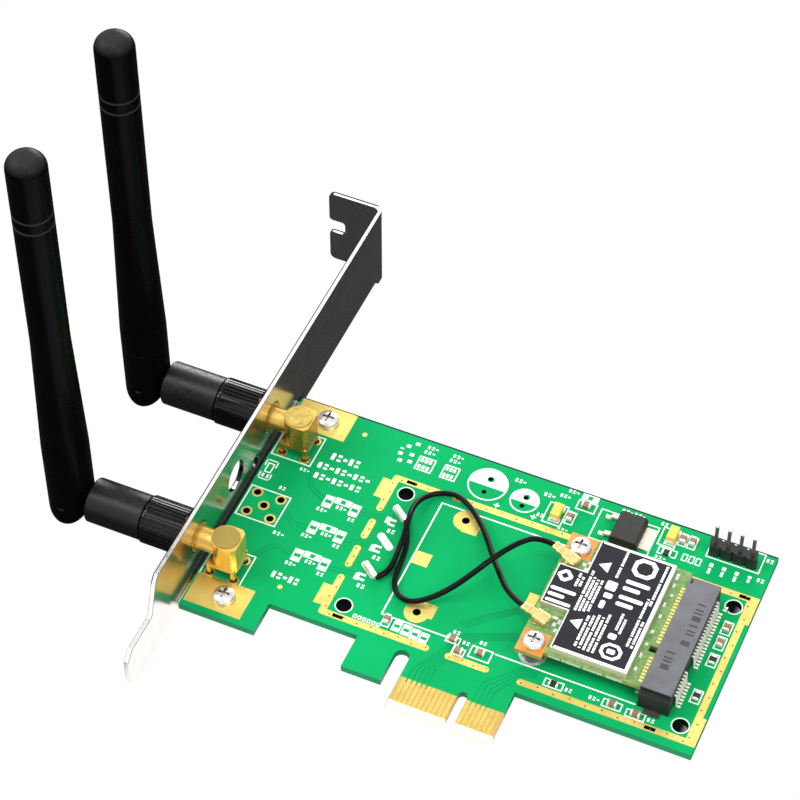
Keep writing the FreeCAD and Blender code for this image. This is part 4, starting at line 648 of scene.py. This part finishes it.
# Gold-plated copper: the contacts on the tongue, the ground frame, the bracket's pads and the rings
# of the jacks' holes, all flat and soft-bright, with small plugged vias along the ground frame. The
# pads for the aerial leads are tinned.
gold_plate = finish(
    "gold_plate", light=(0.86, 0.68, 0.205), dark=(0.74, 0.56, 0.15), rough=(0.30, 0.46),
    metallic=0.95, patch=200.0, relief=0.06,
)
coat_node("plated_pads", gold_plate)
contact_gold = finish(
    "contact_gold", light=(0.78, 0.58, 0.17), dark=(0.66, 0.47, 0.12), rough=(0.26, 0.40),
    metallic=0.95, patch=300.0, relief=0.05,
)
coat_node("edge_contacts", contact_gold)


def studs_tree(name, made):
    """A small disc at each point."""
    tree = bpy.data.node_groups.new(name, "GeometryNodeTree")
    tree.interface.new_socket("Geometry", in_out="INPUT", socket_type="NodeSocketGeometry")
    for socket, value in (("Radius", 0.0002), ("Depth", 0.00002)):
        entry = tree.interface.new_socket(socket, in_out="INPUT", socket_type="NodeSocketFloat")
        entry.default_value = value
    tree.interface.new_socket("Geometry", in_out="OUTPUT", socket_type="NodeSocketGeometry")
    given = tree.nodes.new("NodeGroupInput")
    out = tree.nodes.new("NodeGroupOutput")
    disc = tree.nodes.new("GeometryNodeMeshCylinder")
    disc.inputs["Vertices"].default_value = 10
    spread = tree.nodes.new("GeometryNodeInstanceOnPoints")
    real = tree.nodes.new("GeometryNodeRealizeInstances")
    paint = tree.nodes.new("GeometryNodeSetMaterial")
    paint.inputs["Material"].default_value = made
    join = tree.links.new
    join(given.outputs["Geometry"], spread.inputs["Points"])
    join(given.outputs["Radius"], disc.inputs["Radius"])
    join(given.outputs["Depth"], disc.inputs["Depth"])
    join(disc.outputs["Mesh"], spread.inputs["Instance"])
    join(spread.outputs["Instances"], real.inputs["Geometry"])
    join(real.outputs["Geometry"], paint.inputs["Geometry"])
    join(paint.outputs["Geometry"], out.inputs["Geometry"])
    return tree


def on_board(point):
    """The board millimetres of a point of the frame."""
    return point.x * 1000 + origin_x, point.y * 1000 + origin_y, point.z * 1000 + origin_z


copper_top = on_board(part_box("plated_pads")[1])[2]
via_dark = finish(
    "via_dark", light=(0.20, 0.13, 0.04), dark=(0.10, 0.07, 0.02), rough=(0.4, 0.55),
    metallic=0.6, patch=900.0,
)
via_pitch = 3.3
via_places = []
for x0, x1, y in (
    (27.2, 35.8, -11.7), (39.0, 99.5, -11.7), (27.6, 47.6, -47.3), (52.6, 60.0, -47.3), (67.2, 99.5, -47.3),
):
    count = int((x1 - x0) / via_pitch) + 1
    via_places += [(x0 + (x1 - x0) * i / count, y + (0.22 if i % 2 else -0.15)) for i in range(count + 1)]
for x, y0, y1 in (
    (26.0, -13.2, -20.0), (26.0, -23.8, -27.5), (26.0, -30.9, -35.0), (26.0, -38.6, -46.0),
    (100.5, -13.5, -46.2),
):
    count = int((y0 - y1) / via_pitch) + 1
    via_places += [(x + (0.2 if i % 2 else -0.2), y0 + (y1 - y0) * i / count) for i in range(count + 1)]
via_seed = bpy.data.meshes.new("via_points")
via_seed.from_pydata([at(x, y, copper_top) for x, y in via_places], [], [])
via_sizes = {"Radius": 0.00019, "Depth": 0.00001}
grown("ground_vias", via_seed, studs_tree("via_dots", via_dark), via_sizes, "card")
coat_node("tinned_pads", tin_bright)
ring_form = bmesh.new()
for y in (-12.2, -45.0):
    for x, step in ((2.21, 2.54), (2.21, -2.54), (7.29, 2.54), (7.29, -2.54)):
        ring = [round_loop(x, y + step, r) for r in (1.12, 0.75)]
        slab(ring_form, ring, 0.0, copper_top + 0.02)
for x, y in ((15.6, -4.1), (16.2, -45.4)):
    slab(ring_form, [round_loop(x, y, 0.5, 20)], 0.0, copper_top)
settled("plated_rings", ring_form, gold_plate, "card")

# Bracket: one sheet of bright nickel-plated steel, pressed and folded. Its sheared upper edges and other
# up-facing faces carry a painted white highlight, its rounded edges and rims carry painted shade as dark
# lines, and the strip carries painted shade below the board's face.
def eased(node, made, width, rings=2):
    """A merged copy of a solid with its sharp edges rounded, standing for that solid."""
    source = frame["nodes"][node]
    form = bmesh.new()
    form.from_mesh(source.data)
    bmesh.ops.remove_doubles(form, verts=form.verts, dist=2e-6)
    bmesh.ops.dissolve_limit(form, angle_limit=math.radians(0.6), verts=form.verts, edges=form.edges)
    sharp_from = math.radians(30)
    sharp = [e for e in form.edges if e.is_manifold and e.calc_face_angle(0.0) > sharp_from]
    if width > 0:
        bmesh.ops.bevel(form, geom=sharp, offset=width, offset_type="OFFSET", segments=rings, profile=0.5,
                        affect="EDGES", clamp_overlap=True)
    mesh = bpy.data.meshes.new(node + "_form")
    form.to_mesh(mesh)
    form.free()
    mesh.polygons.foreach_set("use_smooth", [True] * len(mesh.polygons))
    mesh.set_sharp_from_angle(angle=math.radians(38))
    mesh.materials.append(made)
    piece = bpy.data.objects.new(node + "_form", mesh)
    scene.collection.objects.link(piece)
    even = piece.modifiers.new("even", "WEIGHTED_NORMAL")
    even.keep_sharp = True
    graph = bpy.context.evaluated_depsgraph_get()
    piece.data = bpy.data.meshes.new_from_object(piece.evaluated_get(graph))
    piece.modifiers.remove(even)
    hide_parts(node)
    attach(piece, source["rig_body"])


nickel = finish(
    "bright_nickel", light=(0.62, 0.61, 0.585), dark=(0.54, 0.53, 0.51), rough=(0.18, 0.26),
    metallic=1.0, patch=90.0, grain=1500.0, relief=0.02,
)
# Painted shade: the strip is painted dark where it stands below the board's face, beside the board.
above_foot = beyond(nickel, "Y", 0.0118, 0.0126)
beside_board = joined(nickel, "MULTIPLY", above_foot, beyond(nickel, "Y", 0.0645, 0.0625))
in_shade = joined(nickel, "MULTIPLY", beside_board, beyond(nickel, "Z", 0.0004, -0.0002))
lay_over(nickel, in_shade, (0.10, 0.10, 0.095))
# Painted highlight: the bracket's up-facing faces are painted white.
up_facing_highlight = joined(nickel, "MULTIPLY", facing(nickel, "Z", 0.5, 0.6), facing(nickel, "X", 0.15, 0.05))
lay_over(nickel, up_facing_highlight, (1.0, 1.0, 0.99))
turned = facing(nickel, "Z", 0.2, 0.3)
rolled = joined(nickel, "MULTIPLY", turned, facing(nickel, "Z", 0.98, 0.94))
upright = joined(nickel, "MAXIMUM", above_foot, facing(nickel, "X", 0.15, 0.25))
tab_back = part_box("bracket")[1].y
tab_rim = beyond(nickel, "Y", tab_back - 0.00042, tab_back - 0.00036)
strip_side = beyond(nickel, "X", at(-1.70, 0.0).x, at(-1.74, 0.0).x)
strip_end = beyond(nickel, "Y", tab_back - 0.0014, tab_back - 0.0016)
strip_rim = joined(nickel, "MULTIPLY", strip_side, strip_end)
# Painted shade: near-black lines on the rounded edges and along the tab's and the strip's rims.
for one, other in ((rolled, upright), (turned, tab_rim), (turned, strip_rim)):
    lay_over(nickel, joined(nickel, "MULTIPLY", one, other), (0.02, 0.02, 0.02))
eased("bracket", nickel, width=0.00024, rings=4)

# Bracket screws: small steel pan-head machine screws with a cross recess, through the board into the
# two tapped ears of the bracket.
# Painted shade darkens the screws' cross recesses and corners.
screw_steel = finish(
    "screw_steel", light=(0.84, 0.82, 0.82), dark=(0.60, 0.57, 0.57), rough=(0.18, 0.30),
    metallic=0.85, patch=900.0, relief=0.06, shade_reach=0.0007,
)
eased("bracket_screws", screw_steel, width=0.00006)

# Aerial jacks: gold-plated turned and milled brass, with a pressed lid in the block and a white core.
# Four legs are soldered to the board, and the threaded barrel stands out through the bracket.
# Painted shade darkens the corners and recesses of the gold parts.
jack_gold = finish(
    "jack_gold", light=(0.94, 0.62, 0.165), dark=(0.78, 0.46, 0.085), rough=(0.16, 0.28),
    metallic=0.75, patch=350.0, grain=5000.0, relief=0.04, shade_reach=0.0016,
)
between_jacks, seam = 0.033, 0.0001
# Painted shade: the far jack's side faces are painted dark brown.
far_jack = beyond(jack_gold, "Y", between_jacks - seam, between_jacks + seam)
far_flank_shade = joined(jack_gold, "MULTIPLY", facing(jack_gold, "Z", 0.5, 0.2), far_jack)
lay_over(jack_gold, far_flank_shade, (0.42, 0.22, 0.035))
for node in ("jack_shell_near", "jack_shell_far"):
    eased(node, jack_gold, width=0.00014)
lid_gold = finish(
    "lid_gold", light=(0.58, 0.44, 0.125), dark=(0.38, 0.28, 0.07), rough=(0.36, 0.52),
    metallic=1.0, patch=900.0, grain=6000.0, relief=0.25,
)
# Painted shade: the near lid is clouded darker than the far one.
near_lid = beyond(lid_gold, "Y", between_jacks + seam, between_jacks - seam)
lid_clouds = lid_gold.node_tree.nodes["Group"].outputs["Patch"]
lay_over(lid_gold, joined(lid_gold, "MULTIPLY", near_lid, lid_clouds), (0.20, 0.145, 0.035))
eased("jack_lids", lid_gold, width=0.00006)
core_white = finish(
    "core_white", light=(0.88, 0.88, 0.85), dark=(0.80, 0.80, 0.76), rough=(0.35, 0.5),
    patch=500.0,
)
coat_node("jack_insulators", core_white)
coat_node("jack_contacts", jack_gold)

# Swivel aerials: black moulded nuts, barrels and rods, with painted highlights on the tips and the
# grooves' edges. The nut is ridged, the barrel turns on the plug's sleeve, and the rod folds on a pin in
# its fork.
rod_black = finish(
    "rod_black", light=(0.0014, 0.0014, 0.0016), dark=(0.0010, 0.0010, 0.0012), rough=(0.22, 0.32),
    specular=0.03, patch=80.0, grain=4000.0, relief=0.12,
)
rod_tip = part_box("aerial_sheath_near")[1].z
groove_lips = (rod_tip - 0.0158, rod_tip - 0.0132)
# Painted highlight: a pale line along each groove's lip.
for lip in groove_lips:
    groove_lip_highlight = joined(
        rod_black, "MULTIPLY",
        beyond(rod_black, "Z", lip - 0.00032, lip - 0.00026), beyond(rod_black, "Z", lip + 0.00006, lip),
    )
    lay_over(rod_black, groove_lip_highlight, (0.019, 0.019, 0.020))
# Painted highlight: the up-facing tips are painted lighter.
lay_over(rod_black, facing(rod_black, "Z", 0.30, 0.95), (0.022, 0.022, 0.023))
barrel_black = finish(
    "barrel_black", light=(0.0050, 0.0048, 0.0056), dark=(0.0030, 0.0030, 0.0036), rough=(0.26, 0.44),
    specular=0.31, patch=160.0, grain=1400.0, relief=0.08,
)
nut_black = finish(
    "nut_black", light=(0.0024, 0.0024, 0.0028), dark=(0.0016, 0.0016, 0.0020), rough=(0.10, 0.17),
    specular=0.30, patch=160.0, grain=4500.0, relief=0.04,
)
for end in ("near", "far"):
    eased("coupling_nut_" + end, nut_black, width=0.00005)
    eased("aerial_barrel_" + end, barrel_black, width=0.00012)
    eased("aerial_fork_" + end, rod_black, width=0.00015)
    eased("aerial_sheath_" + end, rod_black, width=0.00012)
    coat_node("hinge_pin_" + end, rod_black)
    coat_node("aerial_element_" + end, jack_gold)
    coat_node("plug_sleeve_" + end, jack_gold)
coat_node("plug_insulators", core_white)
coat_node("plug_contacts", jack_gold)
coat_node("nut_inserts", nickel)

# Radio card: a half-length board in a lighter mask, screwed to two spacers through bare copper pads,
# with a tinned shield over its circuit and gold contacts in the socket.
card_mask = finish(
    "card_mask", light=(0.22, 0.34, 0.12), dark=(0.09, 0.21, 0.06), rough=(0.26, 0.4),
    specular=0.3, patch=1400.0, relief=0.05,
)
lay_over(card_mask, facing(card_mask, "Z", 0.6, 0.4), (0.26, 0.27, 0.07))
coat_node("card_board", card_mask)
coat_node("card_contacts", gold_plate)
copper_bare = finish(
    "copper_bare", light=(0.80, 0.34, 0.085), dark=(0.68, 0.24, 0.045), rough=(0.3, 0.45),
    metallic=0.7, patch=600.0, relief=0.1,
)
coat_node("card_screw_pads", copper_bare)
# Painted shade: the spacers' tin is given a dark tone for the shade under the card; the socket's anchors
# share it.
shaded_tin = finish(
    "shaded_tin", light=(0.16, 0.155, 0.14), dark=(0.09, 0.085, 0.075), rough=(0.3, 0.45),
    metallic=0.9, patch=700.0, relief=0.05,
)
eased("card_spacers", shaded_tin, width=0.00008)
eased("card_screws", screw_steel, width=0.00006)
shield_tin = finish(
    "shield_tin", light=(0.80, 0.79, 0.76), dark=(0.62, 0.61, 0.57), rough=(0.26, 0.40),
    metallic=0.5, patch=700.0, relief=0.05,
)
# Painted shade: the shield's side walls are painted darker and warmer than its top.
lay_over(shield_tin, facing(shield_tin, "Z", 0.6, 0.4), (0.60, 0.56, 0.42))
eased("card_shield", shield_tin, width=0.00008)
label_film = finish(
    "label_film", light=(0.014, 0.014, 0.019), dark=(0.010, 0.010, 0.014), rough=(0.45, 0.6),
    specular=0.12, patch=300.0, relief=0.04,
)
coat_node("card_label", label_film)
# Painted shade darkens the corners of the receptacles and plugs.
pale_gold = finish(
    "pale_gold", light=(0.82, 0.66, 0.30), dark=(0.66, 0.50, 0.18), rough=(0.22, 0.36),
    metallic=0.85, patch=900.0, relief=0.05, shade_reach=0.0006,
)
eased("card_receptacles", pale_gold, width=0.00004)
package_black = finish(
    "package_black", light=(0.014, 0.0135, 0.013), dark=(0.009, 0.0088, 0.0085), rough=(0.42, 0.6),
    specular=0.3, patch=500.0, relief=0.25,
)
coat_node("radio_chip", package_black)
card_top = on_board(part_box("card_board")[1])[2]
card_near = on_board(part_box("card_shield")[0])[1] - 0.6
mark_form = bmesh.new()
for x0, x1 in ((70.3, 72.6), (73.1, 76.8), (77.4, 81.1), (81.9, 85.1)):
    slab(mark_form, [oblong(x0, card_near - 0.04, x1, card_near + 0.04)], card_top - 0.85, card_top - 0.25)
for x, y, wide, tall in (
    (67.6, -35.7, 0.7, 0.9), (68.8, -35.1, 0.7, 0.9), (68.4, -33.6, 1.1, 0.6), (69.5, -34.2, 0.6, 1.1),
    (69.5, -36.4, 0.6, 0.8), (68.9, -19.6, 0.8, 0.8), (69.6, -20.7, 0.6, 0.9), (69.7, -18.9, 0.5, 0.7),
    (86.3, -15.2, 0.6, 1.5), (86.4, -17.4, 0.5, 1.0), (86.8, -19.8, 0.6, 0.6), (86.3, -22.4, 0.5, 1.1),
    (86.5, -25.3, 0.5, 0.9), (86.4, -29.2, 0.6, 0.8), (86.4, -32.3, 0.6, 0.7), (86.3, -35.1, 0.5, 1.2),
    (86.5, -38.4, 0.5, 0.9),
):
    land = oblong(x - wide / 2, y - tall / 2, x + wide / 2, y + tall / 2)
    slab(mark_form, [land], card_top, card_top + 0.03)
settled("card_lands", mark_form, tin_bright, "card")
foot_form = bmesh.new()
for y in (-16.1, -40.3):
    slab(foot_form, [round_loop(66.75, y, 2.75, 40), round_loop(66.75, y, 2.0, 40)], 0.0, 0.06)
settled("spacer_solder", foot_form, tin_bright, "card")

# Label print: white ink on the dark film, screened as a border, columns of short bars, three plain
# frames with cut corners, wide bars and two plain triangles.
label_low, label_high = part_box("card_label")
label_near = on_board(label_low)[1]
label_right, label_far, label_top = on_board(label_high)
label_form = bmesh.new()


def inked(*loops):
    """A plate of ink on the label."""
    slab(label_form, loops, label_top, label_top + 0.012)


def cornered(x0, y0, x1, y1, cut):
    """An oblong with its corners cut off."""
    return [
        (x0 + cut, y0), (x1 - cut, y0), (x1, y0 + cut), (x1, y1 - cut),
        (x1 - cut, y1), (x0 + cut, y1), (x0, y1 - cut), (x0, y0 + cut),
    ]


border_left, border_right, border = 70.9, label_right - 0.42, 0.34
inked(oblong(border_right, label_near, label_right, label_far))
inked(oblong(border_left, label_near, border_right, label_near + border))
inked(oblong(border_left, label_far - border, border_right, label_far))
bar_lengths = (0.55, 0.35, 0.75, 0.4, 0.6, 0.3, 0.85)
for column, (x, first, last) in enumerate((
    (71.5, -31.6, -21.5), (72.3, -31.4, -22.6), (73.1, -31.2, -22.8), (73.9, -30.8, -23.0),
    (74.5, -39.3, -31.5), (75.4, -39.4, -31.2), (76.3, -39.5, -30.8), (77.2, -39.5, -31.0),
    (78.1, -39.5, -29.8), (83.5, -35.5, -23.6), (84.2, -25.0, -14.9), (84.4, -35.6, -28.7),
    (80.3, -32.8, -28.7), (81.2, -33.4, -29.6), (76.0, -21.3, -14.5), (69.5, -26.3, -23.0),
    (70.3, -26.0, -23.4),
)):
    y, number = first, column
    while y < last - 0.2:
        end = min(y + bar_lengths[number % 7], last)
        inked(oblong(x - 0.25, y, x + 0.25, end))
        y = end + (0.42 if number % 6 == 5 else 0.17)
        number += 1
for x0, y0, x1, y1, line in (
    (78.0, -19.5, 82.7, -15.0, 0.8), (79.1, -39.7, 83.3, -36.0, 0.6), (65.4, -26.1, 68.4, -23.3, 0.65),
):
    inside = cornered(x0 + line, y0 + line, x1 - line, y1 - line, 0.8)
    inked(cornered(x0, y0, x1, y1, 1.1), inside)
for x0, y0, x1, y1 in (
    (78.0, -21.7, 82.8, -20.8), (78.0, -23.4, 81.4, -22.5), (78.0, -25.6, 82.8, -24.7),
    (78.0, -27.3, 81.4, -26.4), (75.2, -26.5, 76.9, -25.3), (75.2, -29.2, 76.2, -27.3),
    (74.8, -24.6, 76.9, -22.4), (79.4, -35.1, 81.0, -33.8), (80.4, -38.4, 82.0, -37.3),
    (65.3, -28.6, 70.4, -27.8), (65.3, -30.1, 68.6, -29.3), (65.3, -31.5, 70.4, -30.8),
):
    inked(cornered(x0, y0, x1, y1, 0.22))
for x, y in ((72.8, -19.6), (72.5, -34.2)):
    inked([(x + 1.2, y - 1.3), (x + 1.2, y + 1.3), (x - 1.0, y)])
settled("label_print", label_form, ink_white, "card")

# Aerial leads: thin coaxial cable in a glossy black jacket, soldered to the board by its braid and
# core at one end and crimped in a miniature push-on plug at the other.
jacket_black = finish(
    "jacket_black", light=(0.0034, 0.0034, 0.0034), dark=(0.0022, 0.0022, 0.0022), rough=(0.22, 0.32),
    specular=0.09, patch=300.0, relief=0.05,
)
lead_routes = {
    "near": [
        (32.4, -36.3, 0.7), (33.7, -34.8, 0.7), (34.2, -32.5, 0.9), (34.1, -29.6, 1.8),
        (34.0, -26.3, 2.9), (33.2, -22.2, 3.1), (32.5, -18.6, 2.2), (33.0, -15.2, 1.3),
        (35.2, -12.5, 0.9), (38.4, -11.3, 0.8), (41.6, -12.5, 0.9), (44.8, -15.2, 1.2),
        (48.2, -19.0, 1.7), (51.4, -23.5, 2.3), (54.9, -28.1, 3.3), (58.4, -32.2, 4.3),
        (61.81, -33.9, 4.9),
    ],
    "far": [
        (32.2, -21.3, 0.7), (33.4, -23.4, 0.7), (34.6, -26.4, 0.7), (35.3, -29.9, 0.7),
        (35.6, -33.4, 0.7), (36.2, -36.4, 0.7), (37.9, -38.5, 0.7), (40.7, -39.1, 0.7),
        (43.6, -37.6, 1.1), (46.9, -34.3, 2.1), (49.6, -30.9, 3.7), (51.9, -27.5, 5.2),
        (53.9, -23.9, 5.6), (56.0, -20.5, 5.5), (58.5, -17.9, 5.25), (62.05, -18.07, 4.9),
    ],
}


def plug_piece(end, x, y, turn):
    """A push-on plug: a square hood over the receptacle, a waist and a crimped barrel round the cable."""
    low, high = (on_board(point)[2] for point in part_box("lead_plug_" + end))
    form = bmesh.new()
    ahead = (math.cos(math.radians(turn)), math.sin(math.radians(turn)))
    for start, stop, half, base, top, ease in (
        (-1.5, 1.75, 1.25, low, high, 0.28),
        (1.5, 2.9, 0.85, low + 0.1, high - 0.3, 0.15),
        (2.6, 3.6, 1.0, low, high - 0.12, 0.3),
        (3.7, 4.75, 0.9, low, high - 0.2, 0.3),
        (3.4, 3.9, 0.8, low + 0.1, high - 0.3, 0.1),
    ):
        corners = []
        for z in (base, top):
            for along, across in ((start, -half), (stop, -half), (stop, half), (start, half)):
                corner_x = x + along * ahead[0] - across * ahead[1]
                corner_y = y + along * ahead[1] + across * ahead[0]
                corners.append(form.verts.new(at(corner_x, corner_y, z)))
        sides = ((3, 2, 1, 0), (4, 5, 6, 7), (0, 1, 5, 4), (1, 2, 6, 5), (2, 3, 7, 6), (3, 0, 4, 7))
        faces = [form.faces.new([corners[i] for i in side]) for side in sides]
        edges = list({edge for face in faces for edge in face.edges})
        bmesh.ops.bevel(form, geom=edges, offset=ease / 1000, offset_type="OFFSET", segments=3, profile=0.5,
                        affect="EDGES")
    piece = settled("lead_plug_%s_form" % end, form, pale_gold, "card")
    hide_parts("lead_plug_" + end)
    return piece


plug_places = {"near": (66.4, -35.3, 163.0), "far": (66.4, -20.1, 155.0)}
for end, length in (("near", 0.0623), ("far", 0.0532)):
    route = lead_routes[end]
    curve = bpy.data.curves.new("aerial_cable_" + end, "CURVE")
    curve.dimensions = "3D"
    run = curve.splines.new("NURBS")
    run.points.add(len(route) - 1)
    for point, place in zip(run.points, route):
        point.co = (*at(*place), 1.0)
    run.order_u = 3
    run.use_endpoint_u = True
    run.resolution_u = 8
    curve.bevel_depth = 0.000565
    curve.bevel_resolution = 4
    curve.use_fill_caps = True
    curve.materials.append(jacket_black)
    cable = bpy.data.objects.new("aerial_cable_" + end, curve)
    scene.collection.objects.link(cable)
    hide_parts("aerial_lead_" + end)
    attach(cable, "card")
    plug = plug_piece(end, *plug_places[end])
coat_node("lead_ends", tin_bright)

# Card socket: a moulded housing, blue-grey on its top and near-black on its sides and lower part, with
# two rows of gull-wing contacts and solder anchors at its ends.
socket_grey = finish(
    "socket_grey", light=(0.122, 0.122, 0.138), dark=(0.086, 0.086, 0.097), rough=(0.40, 0.55),
    specular=0.3, patch=260.0, relief=0.2,
)
lay_over(socket_grey, facing(socket_grey, "Z", 0.7, 0.3), (0.016, 0.017, 0.018))
housing_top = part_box("socket_housing")[1].z
lower_part = beyond(socket_grey, "Z", housing_top - 0.0004, housing_top - 0.0006)
lay_over(socket_grey, lower_part, (0.010, 0.011, 0.011))
eased("socket_housing", socket_grey, width=0.00010)
contact_tin = finish(
    "contact_tin", light=(0.90, 0.87, 0.78), dark=(0.76, 0.73, 0.64), rough=(0.35, 0.5),
    metallic=0.25, patch=900.0, relief=0.05,
)
eased("socket_contacts", contact_tin, width=0.0)
coat_node("socket_anchors", shaded_tin)
socket_top = on_board(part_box("socket_housing")[1])[2]
cast_form = bmesh.new()
mark_low, mark_high = socket_top - 0.02, socket_top + 0.004
mark_places = [(93.1 + 0.06 * i, -20.6 - 1.75 * i) for i in range(5)] + [(93.2, -30.2)]
mark_places += [(91.5, -33.2 - 1.75 * i) for i in range(3)]
for number, (x, y) in enumerate(mark_places):
    for step in ((0.0,), (-0.4, 0.4), (-0.4, 0.0, 0.4))[number % 3]:
        bar = oblong(x - 0.85, y + step - 0.15, x + 0.85, y + step + 0.15)
        slab(cast_form, [bar], mark_low, mark_high)
slab(cast_form, [oblong(89.2, -16.6, 89.7, -15.5)], mark_low, mark_high)
cast_dark = finish(
    "cast_dark", light=(0.030, 0.030, 0.035), dark=(0.020, 0.020, 0.024), rough=(0.5, 0.65),
    specular=0.2, patch=900.0,
)
settled("socket_marks", cast_form, cast_dark, "card")

# Pin header: four square tinned pins, their tin painted dark as shade and their tips painted with a
# highlight, pressed through a scalloped base of black plastic and soldered to the board.
header_black = finish(
    "header_black", light=(0.0085, 0.0085, 0.0090), dark=(0.0055, 0.0055, 0.0060), rough=(0.34, 0.48),
    specular=0.35, patch=400.0, relief=0.15,
)
eased("header_base", header_black, width=0.00010)
# Painted shade: the pins' tin is given a dark tone.
pin_tin = finish(
    "pin_tin", light=(0.10, 0.098, 0.092), dark=(0.055, 0.054, 0.050), rough=(0.3, 0.42),
    metallic=0.15, patch=800.0,
)
pin_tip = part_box("header_pins")[1].z
# Painted highlight: the top of each pin is painted near-white.
lay_over(pin_tin, beyond(pin_tin, "Z", pin_tip - 0.0007, pin_tip - 0.0005), (0.95, 0.95, 0.92))
eased("header_pins", pin_tin, width=0.00006)

# Regulator: a chip moulded in black plastic, with a tinned tab and two formed leads that are soldered
# flat to the board.
eased("regulator_body", package_black, width=0.00012)
tab_tin = finish(
    "tab_tin", light=(0.82, 0.76, 0.62), dark=(0.60, 0.54, 0.42), rough=(0.35, 0.5),
    metallic=0.35, patch=1500.0, relief=0.15,
)
eased("regulator_metal", tab_tin, width=0.00004)

# Small parts: yellow moulded tantalums, tan ceramic capacitors and black chip resistors, each soldered
# by its tinned ends.
tantalum_yellow = finish(
    "tantalum_yellow", light=(0.95, 0.58, 0.10), dark=(0.85, 0.46, 0.06), rough=(0.36, 0.5),
    specular=0.4, patch=700.0, relief=0.12,
)
eased("tantalum_bodies", tantalum_yellow, width=0.00010)
eased("tantalum_terminals", tin_bright, width=0.00003)
tantalum_land = bmesh.new()
for x, y in ((58.5, -7.4), (81.35, -3.6)):
    for way in (-1, 1):
        near, far = sorted((way * 0.9, way * 2.15))
        slab(tantalum_land, [oblong(x - 1.15, y + near, x + 1.15, y + far)], 0.0, 0.03)
settled("tantalum_lands", tantalum_land, tin_bright, "card")
ceramic_tan = finish(
    "ceramic_tan", light=(0.28, 0.155, 0.08), dark=(0.18, 0.10, 0.05), rough=(0.4, 0.55),
    specular=0.4, patch=900.0, relief=0.2,
)
eased("capacitor_bodies", ceramic_tan, width=0.00005)
eased("capacitor_ends", tin_bright, width=0.00005)
eased("resistor_bodies", package_black, width=0.00003)
eased("resistor_ends", tin_bright, width=0.00003)
